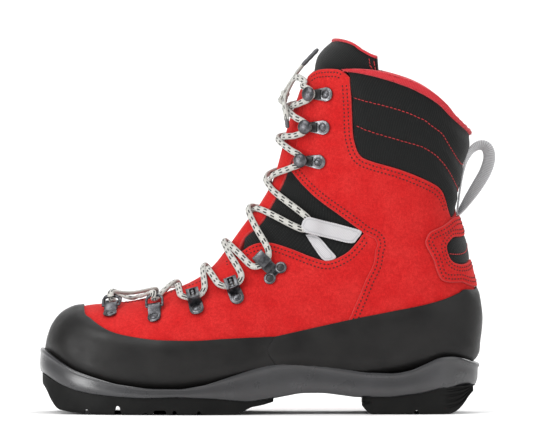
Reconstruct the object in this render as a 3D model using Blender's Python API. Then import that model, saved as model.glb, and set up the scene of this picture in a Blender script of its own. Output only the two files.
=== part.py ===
"""Left mountaineering boot: leather upper with a rubber rand, laced front and an ankle that flexes.

Lengths are millimetres until a mesh is made. +Z is up, the toe points to -X and the outer (lateral) side
of the foot is at -Y. The upper is one curved surface: skin(t, v) reads it, where t counts the stations from
the toe tip to the collar and v goes round a station's section, from the front centre line (0) over the
lateral side (positive) to the sole or the back (pi). Every soft piece is an outline on that surface with an
inner and an outer depth, so neighbours share their edges and keep an even gap.
"""

import math

import bmesh
import bpy
from mathutils import Matrix, Vector
from mathutils.geometry import delaunay_2d_cdt
from mathutils.kdtree import KDTree

MM = 0.001

# Depths below (-) and above (+) the leather's outer face.
LEATHER = (-1.6, 0.0)
COLLAR = (-3.0, 0.0)
BINDING = (-5.7, 0.6)
OVERLAY = (0.6, 2.0)
WINDOW = (0.6, 1.2)
RAND = (0.6, 2.2)
WEBBING = (-1.5, -0.4)
GUSSET = (-3.4, -2.6)
STIFFENER = (-3.0, -2.2)
LINING = (-6.0, -4.0)
TONGUE = (-7.2, -2.4)
TONGUE_TOP = (-10.8, -6.8)
TONGUE_TRIM = (-11.2, -6.4)
BOARD = (-1.6, 0.0)
FOOTBED = (-10.8, -7.2)
SHANK = (0.5, 1.8)
DISH_DEPTH = 3.1  # the midsole's dish lies this far outside the leather surface

JOIN_GAP = 0.2  # each of two joined panels stops this far from their shared edge
HIDDEN_LAP = 8.0  # leather that runs on under the rand
MESH_STEP = 9.0
EDGE_STEP = 6.0

LACE_RADIUS = 1.7
WEB_THICKNESS = 1.2
PULL_LOOP_WIDTH = 10.0

# One row for each station: front x, z; back (or sole) x, z; half width; centre y; where along the section
# it is widest (0 front, 1 back); how square the front and the back halves are.
STATIONS = (
    (-148.9, 43.5, -148.9, 43.5, 0.0, 8.0, 0.50, 2.2, 2.2),
    (-147.2, 51.8, -145.4, 35.8, 19.0, 8.0, 0.50, 2.2, 2.2),
    (-143.8, 60.2, -139.4, 31.2, 30.0, 7.5, 0.52, 2.2, 2.6),
    (-137.2, 67.6, -131.0, 26.9, 38.0, 7.0, 0.55, 2.2, 3.2),
    (-125.4, 72.4, -119.0, 22.8, 43.5, 6.0, 0.58, 2.2, 4.0),
    (-110.2, 74.4, -103.4, 19.0, 47.0, 4.5, 0.60, 2.2, 4.5),
    (-93.2, 76.9, -85.0, 16.6, 49.0, 3.0, 0.62, 2.2, 4.5),
    (-76.2, 81.3, -64.6, 16.2, 50.0, 1.0, 0.64, 2.2, 4.5),
    (-59.2, 87.6, -41.5, 18.6, 49.0, -0.5, 0.66, 2.2, 4.5),
    (-45.6, 94.7, -17.0, 24.8, 46.5, -1.5, 0.68, 2.1, 4.5),
    (-34.7, 105.0, 10.2, 30.9, 43.0, -1.5, 0.70, 2.1, 4.5),
    (-24.5, 119.0, 39.4, 30.3, 40.5, -1.0, 0.70, 2.1, 4.5),
    (-14.3, 132.9, 70.0, 26.9, 39.0, -0.5, 0.68, 2.2, 4.5),
    (-6.1, 143.5, 98.6, 29.6, 38.0, 0.0, 0.64, 2.2, 4.0),
    (0.0, 153.7, 121.7, 34.7, 37.0, 0.0, 0.60, 2.3, 3.2),
    (4.1, 163.2, 139.5, 42.2, 36.0, 0.0, 0.56, 2.4, 2.6),
    (6.5, 172.0, 144.3, 60.0, 36.0, 0.0, 0.52, 2.5, 2.3),
    (8.5, 180.9, 142.8, 78.9, 36.0, 0.0, 0.50, 2.5, 2.2),
    (10.9, 190.1, 137.7, 99.3, 36.5, 0.0, 0.50, 2.5, 2.2),
    (14.3, 202.0, 133.6, 118.3, 37.0, 0.0, 0.50, 2.5, 2.2),
    (18.7, 214.2, 128.5, 137.4, 38.5, 0.0, 0.50, 2.5, 2.2),
    (23.1, 226.4, 130.6, 153.7, 40.5, 0.0, 0.50, 2.5, 2.2),
    (26.3, 236.0, 133.3, 168.0, 43.0, 0.0, 0.50, 2.4, 2.2),
    (29.0, 244.5, 136.7, 180.2, 45.0, 0.0, 0.50, 2.3, 2.2),
    (34.9, 252.3, 138.4, 190.4, 46.0, 0.0, 0.50, 2.2, 2.2),
    (41.0, 259.4, 140.4, 203.3, 46.5, 0.0, 0.50, 2.2, 2.2),
    (47.5, 266.4, 143.5, 216.9, 47.0, 0.0, 0.50, 2.2, 2.2),
)
LAST_STATION = len(STATIONS) - 1
BACK = math.pi
FEATHER = 2.5  # v of the edge where the upper turns under the foot
COLLAR_FOOT = (20.1, BACK)  # the lowest point of the collar, on the back centre line

# Seams and edges in side view (x, z).
QUARTER_TOP = ((-28.6, 104.3), (-18.4, 110.2), (-11.6, 114.4), (-4.8, 116.6), (4.1, 116.3), (17.0, 112.2),
               (29.2, 107.4), (39.4, 104.4), (45.6, 105.4), (53.0, 109.1), (59.2, 114.9), (63.9, 121.2))
QUARTER_SEAM = ((72.8, 119.0), (74.5, 114.9), (72.8, 108.1), (66.6, 91.1), (57.1, 68.0), (53.5, 56.5))
ANKLE_CREASE = ((73.5, 119.6), (90.4, 121.0), (109.8, 127.4), (125.1, 133.3))
CUFF_LOW = ((15.6, 165.0), (24.5, 154.5), (34.0, 145.5), (48.0, 135.4), (61.2, 125.8), (65.5, 122.4))
CUFF_FRONT = ((27.2, 228.5), (25.8, 219.6), (23.1, 199.9), (19.0, 181.0), (15.6, 165.0))
CUFF_TOP = ((56.0, 228.6), (50.5, 233.2), (44.0, 234.4), (33.3, 233.2), (27.2, 228.5))
CUFF_BACK = ((125.1, 133.3), (122.1, 144.2), (117.8, 152.9), (107.4, 159.1), (90.4, 165.9), (71.4, 171.4),
             (63.2, 175.4), (59.2, 185.0), (57.8, 198.6), (57.1, 212.2), (56.0, 228.6))
COLLAR_LOW_EDGE = ((53.5, 232.0), (62.0, 230.9), (74.1, 228.2), (88.0, 224.0), (101.0, 218.8), (116.1, 209.8),
                   (127.5, 198.6))
COLLAR_TOP_EDGE = ((49.5, 235.4), (62.0, 235.8), (76.2, 234.2), (92.0, 229.9), (105.0, 224.6), (115.4, 218.8),
                   (123.0, 212.0), (130.5, 203.0))
RAND_SIDE = ((-123.1, 67.3), (-112.2, 59.2), (-100.6, 54.4), (-79.6, 51.0), (-62.6, 50.3), (-46.2, 50.3),
             (-25.2, 51.7), (5.4, 53.0))
RAND_HEEL = ((5.4, 53.0), (29.2, 58.5), (55.8, 64.3), (70.0, 67.3), (95.2, 73.0), (117.6, 77.5),
             (134.0, 84.3))
PATCH_EDGE = ((125.1, 132.6), (112.9, 125.1), (107.4, 119.0), (107.4, 114.2), (112.2, 104.7), (115.6, 94.5),
              (119.7, 89.8), (129.2, 88.9), (134.0, 88.0))
WINDOW_EDGE = ((133.3, 121.7), (127.6, 119.9), (123.3, 117.4), (121.2, 113.8), (122.0, 109.0), (124.2, 104.2),
               (128.8, 101.6), (136.0, 103.6))
TONGUE_SIDE = ((-24.0, 104.5), (-17.0, 120.5), (-6.8, 128.5), (1.4, 141.4), (7.5, 153.0), (12.9, 166.6),
               (18.0, 178.0), (24.0, 196.0), (29.5, 214.0), (32.0, 224.0))
TONGUE_TOP_EDGE = ((52.0, 253.6), (60.0, 248.0), (68.0, 243.2), (72.5, 241.4))
STRAP_OUTLINE = ((24.4, 126.5), (27.9, 133.6), (45.0, 129.3), (58.5, 125.4), (61.5, 119.9), (57.6, 115.6),
                 (47.0, 117.8), (38.6, 119.4), (42.6, 113.0), (46.4, 107.0), (38.6, 106.0), (31.0, 115.5),
                 (24.4, 124.0))

# Plan outline of the sole: x, lateral y, medial y.
SOLE_PLAN = ((-154.4, 1.0, 16.0), (-152.8, -12.0, 28.5), (-148.5, -22.5, 38.0), (-140.0, -32.5, 45.0),
             (-128.0, -41.0, 50.0), (-112.0, -47.5, 54.0), (-92.0, -52.0, 55.2), (-70.0, -54.6, 55.0),
             (-45.0, -55.2, 51.5), (-20.0, -51.5, 46.5), (5.0, -46.5, 41.5), (30.0, -42.5, 39.0),
             (60.0, -40.0, 38.5), (90.0, -39.5, 39.0), (110.0, -38.0, 38.0), (125.0, -34.0, 34.0),
             (135.0, -27.0, 27.0), (141.6, -18.5, 18.5), (145.2, -8.5, 8.5))
MIDSOLE_TOP = ((-154.4, 44.6), (-143.5, 37.4), (-132.6, 30.6), (-119.0, 25.8), (-102.7, 21.1), (-80.0, 17.9),
               (-57.8, 17.7), (-41.5, 20.4), (-25.2, 25.8), (-8.8, 31.3), (7.5, 35.4), (21.1, 36.0),
               (50.3, 31.3), (66.6, 28.6), (87.0, 27.9), (97.9, 29.9), (117.6, 38.8), (126.5, 39.4),
               (134.0, 38.1), (144.8, 33.6))
MIDSOLE_BOTTOM = ((-154.4, 28.0), (-142.1, 20.4), (-131.2, 16.3), (-117.6, 13.6), (-102.7, 12.2),
                  (-83.6, 11.2), (-59.8, 12.0), (-36.0, 10.9), (-12.2, 8.6), (7.5, 11.6), (23.1, 14.6),
                  (39.4, 14.6), (61.2, 11.6), (83.6, 11.6), (105.4, 14.3), (118.3, 17.7), (144.8, 19.0))
FOREFOOT_BOTTOM = ((-152.6, 21.5), (-145.0, 3.6), (-133.3, 1.4), (-118.0, 0.0), (-17.7, 0.0), (-12.2, 4.8),
                   (-2.0, 6.6), (6.5, 9.4))
HEEL_BOTTOM = ((62.4, 9.6), (68.7, 0.0), (126.5, 0.0), (131.2, 2.7), (134.6, 6.1), (137.7, 11.6),
               (139.6, 16.2))
OUTSOLE_INSET = 2.2  # how far the outsole's wall stands in from the midsole's

# Hardware places in side view: the rivet, and a point towards the tongue.
RING_CLIPS = (((-106.4, 67.6), (-104.7, 73.0)), ((-76.2, 65.6), (-75.4, 72.8)))
PULLEYS = (((-47.3, 70.9), (-50.3, 83.0)), ((-20.1, 78.9), (-25.2, 91.4)))
LOCK_HOOK = ((4.9, 96.4), (-6.0, 106.6))
HOOKS = (((35.4, 171.0), (24.5, 172.0)), ((38.4, 194.2), (27.9, 194.5)), ((40.8, 216.4), (29.9, 216.2)))

SIDES = (("lateral", 1), ("medial", -1))


# ---------------------------------------------------------------- curves and the upper's surface

def catmull(p0, p1, p2, p3, f):
    """One smooth curve value between p1 and p2."""
    return 0.5 * (2 * p1 + (p2 - p0) * f + (2 * p0 - 5 * p1 + 4 * p2 - p3) * f * f
                  + (3 * p1 - 3 * p2 + p3 - p0) * f ** 3)


def curve_at(rows, t):
    """The smooth curve through rows at row number t."""
    i = min(max(int(t), 0), len(rows) - 2)
    p1, p2 = rows[i], rows[i + 1]
    p0 = rows[i - 1] if i > 0 else [2 * a - b for a, b in zip(p1, p2)]
    p3 = rows[i + 2] if i + 2 < len(rows) else [2 * b - a for a, b in zip(p1, p2)]
    return [catmull(a, b, c, d, t - i) for a, b, c, d in zip(p0, p1, p2, p3)]


def height_at(profile, x):
    """z of a side-view profile at x, straight between its points."""
    for (x0, z0), (x1, z1) in zip(profile, profile[1:]):
        if x <= x1:
            return z0 + (z1 - z0) * max(0.0, (x - x0) / (x1 - x0))
    return profile[-1][1]


def power_radius(v, power):
    return (abs(math.cos(v)) ** power + abs(math.sin(v)) ** power) ** (-1 / power)


def skin(t, v):
    """The point of the leather's outer face at station t and angle v."""
    front_x, front_z, back_x, back_z, half, mid_y, widest, front_power, back_power = curve_at(STATIONS, t)
    front, back = Vector((front_x, mid_y, front_z)), Vector((back_x, mid_y, back_z))
    ahead = math.cos(v) > 0
    radius = power_radius(v, front_power if ahead else back_power)
    share = widest if ahead else 1 - widest
    return front.lerp(back, widest - share * radius * math.cos(v)) - Vector((0, half * radius * math.sin(v), 0))


def skin_normal(t, v):
    """The outward normal of the surface."""
    t = min(max(t, 0.08), LAST_STATION - 0.05)
    along = skin(t + 0.04, v) - skin(t - 0.04, v)
    across = skin(t, v + 0.02) - skin(t, v - 0.02)
    return across.cross(along).normalized()


def on_skin(t, v, height=0.0):
    return skin(t, v) + skin_normal(t, v) * height


def angle_of(depth, power):
    """v where a half section reaches depth (1 at its end, 0 at its widest)."""
    depth = min(max(depth, -1.0), 1.0)
    return math.atan2((1 - abs(depth) ** power) ** (1 / power), depth)


def place(x, z):
    """(t, v) of a side-view point, on the lateral side."""
    def beside(t):
        front_x, front_z, back_x, back_z = curve_at(STATIONS, t)[:4]
        return (back_x - front_x) * (z - front_z) - (back_z - front_z) * (x - front_x)

    low = 0.3
    while low < LAST_STATION - 0.2 and beside(low) * beside(low + 0.2) > 0:
        low += 0.2
    high = low + 0.2
    for _ in range(24):
        middle = (low + high) / 2
        if beside(low) * beside(middle) <= 0:
            high = middle
        else:
            low = middle
    t = (low + high) / 2
    front_x, front_z, back_x, back_z, _, _, widest, front_power, back_power = curve_at(STATIONS, t)
    span = Vector((back_x - front_x, back_z - front_z))
    along = span.dot(Vector((x - front_x, z - front_z))) / span.length_squared
    if along < widest:
        return t, angle_of(1 - along / widest, front_power)
    return t, angle_of((widest - along) / (1 - widest), back_power)


def side(points):
    """Side-view points as (t, v)."""
    return [place(x, z) for x, z in points]


def from_centre(t, y):
    """(t, v) on the front, y to the lateral side of the centre line."""
    half, front_power = curve_at(STATIONS, t)[4], curve_at(STATIONS, t)[7]
    reach = min(y / half, 0.999)
    return t, math.atan2(reach, (1 - reach ** front_power) ** (1 / front_power))


def mirrored(points, centre=0.0):
    """The same edge on the medial side, in the opposite direction; centre is 0 at the front, pi at the back."""
    return [(t, 2 * centre - v) for t, v in reversed(points)]


def flow(points, step=EDGE_STEP):
    """A smooth edge through (t, v) points, with a point about every step."""
    edge = []
    for i in range(len(points) - 1):
        length = (skin(*points[i + 1]) - skin(*points[i])).length
        count = max(1, round(length / step))
        edge += [tuple(curve_at(points, i + k / count)) for k in range(count)]
    return edge + [tuple(points[-1])]


# ---------------------------------------------------------------- meshes and materials

def material(name, color, roughness, metallic=0.0):
    made = bpy.data.materials.new(name)
    made.use_nodes = True
    shader = made.node_tree.nodes["Principled BSDF"]
    shader.inputs["Base Color"].default_value = (*color, 1.0)
    shader.inputs["Roughness"].default_value = roughness
    shader.inputs["Metallic"].default_value = metallic
    return made


LOOKS = {
    "suede": ((0.60, 0.022, 0.020), 0.9),
    "textile": ((0.012, 0.013, 0.013), 0.85),
    "rand": ((0.028, 0.028, 0.028), 0.55),
    "midsole": ((0.055, 0.055, 0.06), 0.5),
    "outsole": ((0.03, 0.03, 0.03), 0.7),
    "webbing": ((0.62, 0.61, 0.61), 0.7),
    "lining": ((0.03, 0.03, 0.032), 0.95),
    "board": ((0.30, 0.24, 0.17), 0.8),
    "stiffener": ((0.08, 0.08, 0.08), 0.5),
    "lace": ((0.66, 0.66, 0.64), 0.8),
    "metal": ((0.20, 0.205, 0.215), 0.38, 1.0),
    "aglet": ((0.22, 0.22, 0.23), 0.5),
}


def add_object(name, mesh, look):
    mesh.materials.append(material(name, *LOOKS[look]))
    made = bpy.data.objects.new(name, mesh)
    bpy.context.scene.collection.objects.link(made)
    return made


def solid(name, points, faces, look, smooth=True, turn=True):
    """An object from points in millimetres; turn makes its faces face outwards."""
    mesh = bpy.data.meshes.new(name)
    mesh.from_pydata([Vector(p) * MM for p in points], [], faces)
    if turn:
        shape = bmesh.new()
        shape.from_mesh(mesh)
        bmesh.ops.recalc_face_normals(shape, faces=shape.faces)
        shape.to_mesh(mesh)
        shape.free()
    if smooth:
        mesh.shade_smooth()
        mesh.set_sharp_from_angle(angle=math.radians(40))
    return add_object(name, mesh, look)


def inside(point, outline):
    """Whether a (t, v) point is inside a closed outline."""
    x, y = point
    hit = False
    for (x0, y0), (x1, y1) in zip(outline, outline[1:] + outline[:1]):
        if (y0 > y) != (y1 > y) and x < x0 + (y - y0) * (x1 - x0) / (y1 - y0):
            hit = not hit
    return hit


def nearest_edge(point, outline):
    """Distance from a point to a closed outline, both as flat vectors."""
    best = 1e9
    for a, b in zip(outline, outline[1:] + outline[:1]):
        span = b - a
        share = max(0.0, min(1.0, (point - a).dot(span) / max(span.length_squared, 1e-9)))
        best = min(best, (point - a - span * share).length)
    return best


FLAT_V = 42.0  # rough millimetres for one radian


def without_repeats(outline):
    kept = []
    for point in outline:
        if not kept or math.dist(point, kept[-1]) > 1e-4:
            kept.append(point)
    return kept[:-1] if math.dist(kept[0], kept[-1]) < 1e-4 else kept


def triangulate(loops, step, pace):
    """(t, v) points and triangles that fill the first outline and leave out the others."""
    flat_loops = [[Vector((t * pace, v * FLAT_V)) for t, v in loop] for loop in loops]
    points, edges = [], []
    for loop in flat_loops:
        start = len(points)
        points += loop
        edges += [(start + i, start + (i + 1) % len(loop)) for i in range(len(loop))]
    low_t, high_t = min(t for t, v in loops[0]), max(t for t, v in loops[0])
    low_v, high_v = min(v for t, v in loops[0]), max(v for t, v in loops[0])
    t_step, v_step = step / pace, step / FLAT_V
    for i in range(math.ceil(low_t / t_step), math.floor(high_t / t_step) + 1):
        for k in range(math.ceil(low_v / v_step), math.floor(high_v / v_step) + 1):
            spot = (i * t_step, k * v_step)
            if inside(spot, loops[0]) and not any(inside(spot, hole) for hole in loops[1:]):
                flat = Vector((spot[0] * pace, spot[1] * FLAT_V))
                if min(nearest_edge(flat, loop) for loop in flat_loops) > 0.45 * step:
                    points.append(flat)
    spread, _, triangles = delaunay_2d_cdt(points, edges, [], 0, 1e-5)[:3]
    spots = [(p.x / pace, p.y / FLAT_V) for p in spread]
    kept = []
    for triangle in triangles:
        middle = [sum(spots[i][axis] for i in triangle) / 3 for axis in (0, 1)]
        if inside(middle, loops[0]) and not any(inside(middle, hole) for hole in loops[1:]):
            kept.append(tuple(triangle))
    return spots, kept


def weld(places, triangles):
    """Drops what collapses where the surface closes to a point."""
    first, index = {}, []
    for i, spot in enumerate(places):
        index.append(first.setdefault(tuple(round(value * 20) for value in spot), i))
    welded = [tuple(index[i] for i in triangle) for triangle in triangles]
    return [triangle for triangle in welded if len(set(triangle)) == 3]


def rim_of(triangles):
    """The directed edges that only one triangle has."""
    edges = {(a, b) for tri in triangles for a, b in zip(tri, tri[1:] + tri[:1])}
    return [(a, b) for a, b in edges if (b, a) not in edges]


def panel(name, outline, depth, look, holes=(), inset=JOIN_GAP, step=MESH_STEP, pace=12.0):
    """A solid sheet on the skin: its outline, how deep its faces lie, and rough millimetres a station there."""
    loops = [without_repeats(outline)] + [without_repeats(hole) for hole in holes]
    spots, triangles = triangulate(loops, step, pace)
    places = [skin(t, v) for t, v in spots]
    normals = [skin_normal(t, v) for t, v in spots]
    triangles = weld(places, triangles)
    turned = sum((places[b] - places[a]).cross(places[c] - places[a]).dot(normals[a]) for a, b, c in triangles)
    if turned < 0:
        triangles = [tri[::-1] for tri in triangles]
    rim = rim_of(triangles)
    inward = {}
    for a, b in rim:
        for end in (a, b):
            across = normals[end].cross(places[b] - places[a]).normalized()
            inward[end] = inward.get(end, Vector()) + across
    for i, push in inward.items():
        if push.length > 1e-6:
            places[i] = places[i] + push.normalized() * inset / max(0.5, push.length / 2)
    used = sorted({i for tri in triangles for i in tri})
    rank = {i: k for k, i in enumerate(used)}
    count = len(used)
    points = [places[i] + normals[i] * depth[1] for i in used]
    points += [places[i] + normals[i] * depth[0] for i in used]
    faces = [tuple(rank[i] for i in tri) for tri in triangles]
    faces += [tuple(rank[i] + count for i in reversed(tri)) for tri in triangles]
    faces += [(rank[b], rank[a], rank[a] + count, rank[b] + count) for a, b in rim]
    return solid(name, points, faces, look, turn=False)


# ---------------------------------------------------------------- upper

def facing_edge():
    """The lateral front edge of the vamp, from the throat up to the wedge."""
    return [(4.8, 0.0), from_centre(5.0, 7.0), from_centre(5.5, 11.5), from_centre(6.5, 14.5),
            from_centre(7.5, 16.5), from_centre(8.5, 17.5), from_centre(9.4, 18.0)]


def make_vamp():
    top = flow(facing_edge() + side(QUARTER_TOP))
    seam = flow(side(QUARTER_SEAM))
    low = flow([place(x, z - HIDDEN_LAP) for x, z in reversed(RAND_SIDE)] + [(3.35, 0.0)])
    half = top + seam + flow([seam[-1], low[0]]) + low
    panel("vamp", half + mirrored(half), LEATHER, "suede")


def make_rear_quarter():
    crease = flow(side(ANKLE_CREASE))
    crease += flow([crease[-1], COLLAR_FOOT])[1:]
    low_side = [(x, z - HIDDEN_LAP) for x, z in reversed(RAND_HEEL[2:])]
    low = flow([(16.95, BACK)] + side(low_side))
    seam = flow(side(tuple(reversed(QUARTER_SEAM)))[:-1] + [place(74.2, 118.0)])
    half = low + seam + crease
    panel("rear_quarter", half + mirrored(half, BACK)[1:-1], LEATHER, "suede", pace=18.0)


def make_cuff(name, sign):
    edge = flow(side(CUFF_FRONT)) + flow(side(CUFF_LOW)) + flow(side(ANKLE_CREASE))
    edge += flow(side(CUFF_BACK)) + flow(side(CUFF_TOP))
    panel(name, [(t, sign * v) for t, v in edge], LEATHER, "suede", pace=15.0)


def make_collar():
    seam = flow(side(CUFF_BACK))
    low = flow([COLLAR_FOOT, seam[0]]) + seam[1:]
    high = flow(side(COLLAR_LOW_EDGE) + [(23.8, BACK)])
    panel("collar_panel", low + high + mirrored(low + high, BACK)[1:-1], COLLAR, "textile", pace=17.0)
    below = flow(side(COLLAR_LOW_EDGE) + [(23.8, BACK)])
    above = flow([(24.25, BACK)] + side(tuple(reversed(COLLAR_TOP_EDGE))))
    half = below[::-1]
    outline = half + above[::-1] + mirrored(half + above[::-1], BACK)[1:-1]
    panel("collar_binding", outline, BINDING, "suede", step=4.0)


def make_heel_patch():
    edge = flow([(19.85, BACK)] + side(PATCH_EDGE) + [(17.62, BACK)])
    hole = flow([(19.2, BACK)] + side(WINDOW_EDGE) + [(18.25, BACK)], 4.0)
    hole += mirrored(hole, BACK)[1:-1]
    outline = edge + mirrored(edge, BACK)[1:-1]
    panel("heel_patch", outline, OVERLAY, "suede", [hole], step=7.0, pace=19.0)
    panel("heel_window", hole, WINDOW, "textile", step=7.0, pace=19.0)


def tongue_edge():
    """The lateral edge of the tongue's red face."""
    return [(4.9, 0.0), from_centre(4.95, 8.0), from_centre(5.2, 15.0), from_centre(6.0, 21.0),
            from_centre(7.0, 23.0), from_centre(8.0, 23.5), from_centre(9.0, 23.5)] + side(TONGUE_SIDE)


def make_tongue():
    half = flow(tongue_edge())
    top = flow([half[-1], (21.2, 0.0)])
    outline = half + top + mirrored(half + top)
    panel("tongue", outline, TONGUE, "suede")
    high = flow([(24.6, 0.0)] + side(TONGUE_TOP_EDGE))
    low = flow([place(75.0, 225.0), (21.9, 0.75), (21.4, 0.0)])
    panel("tongue_top", high + low + mirrored(high + low)[1:-1], TONGUE_TOP, "textile", step=8.0)
    trim = flow([(24.6, 0.0)] + side(TONGUE_TOP_EDGE), 5.0)
    above = flow([(24.95, 0.0)] + [place(x + 0.6, z + 2.9) for x, z in TONGUE_TOP_EDGE], 5.0)
    band = trim[::-1] + mirrored(trim[::-1])[1:] + mirrored(above) + above[1:]
    panel("tongue_binding", band, TONGUE_TRIM, "suede", step=3.0)


def make_gusset(name, sign):
    """The textile bellows between the tongue and the leather's edges."""
    front = flow(side(((-17.0, 120.5), (-6.8, 128.5), (1.4, 141.4), (7.5, 153.0), (12.9, 166.6), (18.0, 178.0))))
    back = flow(side(((26.0, 174.0), (40.0, 150.0), (54.0, 139.0), (72.0, 128.0), (80.0, 117.0), (74.0, 105.0),
                      (60.0, 99.5), (40.0, 96.5), (20.0, 101.5), (2.0, 106.0), (-10.0, 104.0), (-18.0, 103.5))))
    panel(name, [(t, sign * v) for t, v in front + back], GUSSET, "textile", inset=0.4, step=7.0)


def make_strap(name, sign):
    """Webbing Y inside the wedge: the lace pulls on its front end."""
    panel(name, [(t, sign * v) for t, v in flow(side(STRAP_OUTLINE), 4.0)], WEBBING, "webbing", step=5.0)


def make_lining():
    """The padded sock behind all the leather, open where the tongue lies."""
    toe = flow([(2.6, BACK), (2.6, 2.1)]) + flow([(4.3, 1.7), (4.4, 0.9), (4.4, 0.1)])
    slit = flow([(4.65, 0.1)] + [(t, v + 0.05) for t, v in tongue_edge()[1:]])
    top = flow([place(36.0, 230.0), place(56.0, 227.5)]) + flow(
        side([(x, z - 1.2) for x, z in COLLAR_LOW_EDGE]) + [(23.5, BACK)])
    half = toe + slit + top
    panel("lining", half + mirrored(half, BACK)[1:-1], LINING, "lining", step=15.0, pace=18.0)


def make_toe_puff():
    half = flow([(3.7, 0.0), (3.8, 0.8), (4.0, 1.5)]) + flow([(1.2, 1.5), (1.0, 0.8), (1.0, 0.0)])
    panel("toe_puff", half + mirrored(half)[1:-1], STIFFENER, "stiffener", pace=14.0)


def make_heel_counter():
    half = flow([(18.6, BACK), (18.2, 2.4), (16.6, 1.9), (14.6, 1.75)])
    half += flow([(13.4, 2.0), (14.2, 2.45), (16.2, BACK)])
    panel("heel_counter", half + mirrored(half, BACK)[1:-1], STIFFENER, "stiffener", pace=20.0)


def make_rand():
    top = flow([(4.0, 0.0), from_centre(4.08, 7.0)] + side(RAND_SIDE))
    low = flow([(t, FEATHER) for t in (10.05, 8.0, 6.0, 4.0, 2.0, 1.0, 0.4)] + [(0.0, FEATHER)])
    end = flow([top[-1], (9.9, 2.0), low[0]])
    half = top + end[1:] + low[1:]
    outline = half + [(0.0, v) for v in (1.8, 1.2, 0.6, 0.0)] + [(0.0, -v) for v in (0.6, 1.2, 1.8)]
    panel("toe_rand", outline + mirrored(half)[:-1], RAND, "rand", step=10.0, pace=20.0)
    top = flow([end[0]] + side(RAND_HEEL[1:]) + [(17.4, BACK)])
    low = flow([(15.1, BACK), (14.2, 2.85), (13.0, 2.62), (12.0, FEATHER), (11.0, FEATHER), low[0]])
    half = low + end[::-1][1:] + top[1:]
    panel("heel_rand", half + mirrored(half, BACK)[1:-1], RAND, "rand", pace=24.0)


def sole_sheet(name, first, last, angle, depth, look, step=13.0):
    """A plate on the flat of the foot, from station first to last."""
    stations = [first + (last - first) * i / 10 for i in range(11)]
    half = [(first, BACK)] + [(t, angle) for t in stations] + [(last, BACK)]
    panel(name, flow(half[:2]) + flow(half[1:-1]) + flow(half[-2:]) +
          mirrored(flow(half[:2]) + flow(half[1:-1]) + flow(half[-2:]), BACK)[1:-1], depth, look, step=step,
          pace=26.0)


def make_pull_loop():
    """Webbing loop down the back of the collar; the front run lies on the collar."""
    route = ((130.6, 138.4), (131.6, 147.0), (133.2, 156.0), (135.0, 165.0), (137.4, 172.4), (141.4, 178.8),
             (146.8, 182.4), (151.6, 180.4), (153.8, 173.6), (151.4, 164.0), (145.6, 154.6), (138.6, 145.4),
             (133.6, 138.6), (131.8, 136.8))
    middle = [Vector((x, 0.0, z)) for x, z in route]
    points, faces = [], []
    for i, spot in enumerate(middle):
        ahead = (middle[(i + 1) % len(middle)] - middle[i - 1]).normalized()
        out = ahead.cross(Vector((0, 1, 0))) * WEB_THICKNESS / 2
        across = Vector((0, PULL_LOOP_WIDTH / 2, 0))
        points += [spot + out + across, spot - out + across, spot - out - across, spot + out - across]
    for i in range(len(middle)):
        a, b = 4 * i, 4 * ((i + 1) % len(middle))
        faces += [(a + k, a + (k + 1) % 4, b + (k + 1) % 4, b + k) for k in range(4)]
    solid("pull_loop", points, faces, "webbing")


# ---------------------------------------------------------------- sole

def plan_at(x):
    """The lateral and medial y of the sole's wall at x."""
    for row, following in zip(SOLE_PLAN, SOLE_PLAN[1:]):
        if x <= following[0]:
            share = max(0.0, (x - row[0]) / (following[0] - row[0]))
            return [row[k] + (following[k] - row[k]) * share for k in (1, 2)]
    return list(SOLE_PLAN[-1][1:])


def loft(name, sections, look):
    """A solid through equal rings of points, with flat ends."""
    points = [p for ring in sections for p in ring]
    size = len(sections[0])
    faces = [tuple(range(size)), tuple(range(len(points) - size, len(points)))]
    for i in range(len(sections) - 1):
        a, b = i * size, (i + 1) * size
        faces += [(a + k, a + (k + 1) % size, b + (k + 1) % size, b + k) for k in range(size)]
    return solid(name, points, faces, look)


def sole_sections(xs, top, bottom, inset, lean):
    """Trapezoid sections at each x: the wall leans in towards the ground."""
    rings = []
    for x in xs:
        lateral, medial = plan_at(x)
        room = max(0.0, (medial - lateral) / 2 - 3.0)
        shift = min(inset, room)
        foot = min(inset + lean, room)
        low, high = bottom(x), top(x)
        rings.append([(x, lateral + foot, low), (x, medial - foot, low), (x, medial - shift, high),
                      (x, lateral + shift, high)])
    return rings


def cut(target, cutter):
    cutter.hide_render = True
    cutter.display_type = "WIRE"
    modifier = target.modifiers.new("cut_" + cutter.name, "BOOLEAN")
    modifier.operation = "DIFFERENCE"
    modifier.object = cutter


def dish_cutter():
    """The body of the boot, grown to the dish it stands in."""
    around, points, faces = 44, [on_skin(0.0, 0.0, DISH_DEPTH)], []
    stations = [0.3 + 0.35 * i for i in range(2)] + [1.0 + 0.5 * i for i in range(31)]
    for t in stations:
        points += [on_skin(t, 2 * math.pi * k / around, DISH_DEPTH) for k in range(around)]
    faces += [(0, 1 + k, 1 + (k + 1) % around) for k in range(around)]
    for i in range(len(stations) - 1):
        a, b = 1 + i * around, 1 + (i + 1) * around
        faces += [(a + k, a + (k + 1) % around, b + (k + 1) % around, b + k) for k in range(around)]
    faces.append(tuple(range(len(points) - around, len(points))))
    return solid("dish_cutter", points, faces, "midsole")


def make_midsole():
    xs = sorted({row[0] for row in SOLE_PLAN} | {x for x, _ in MIDSOLE_TOP[1:-1]})
    rings = sole_sections(xs, lambda x: height_at(MIDSOLE_TOP, x), lambda x: height_at(MIDSOLE_BOTTOM, x),
                          0.0, 1.2)
    cut(loft("midsole", rings, "midsole"), dish_cutter())


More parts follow.
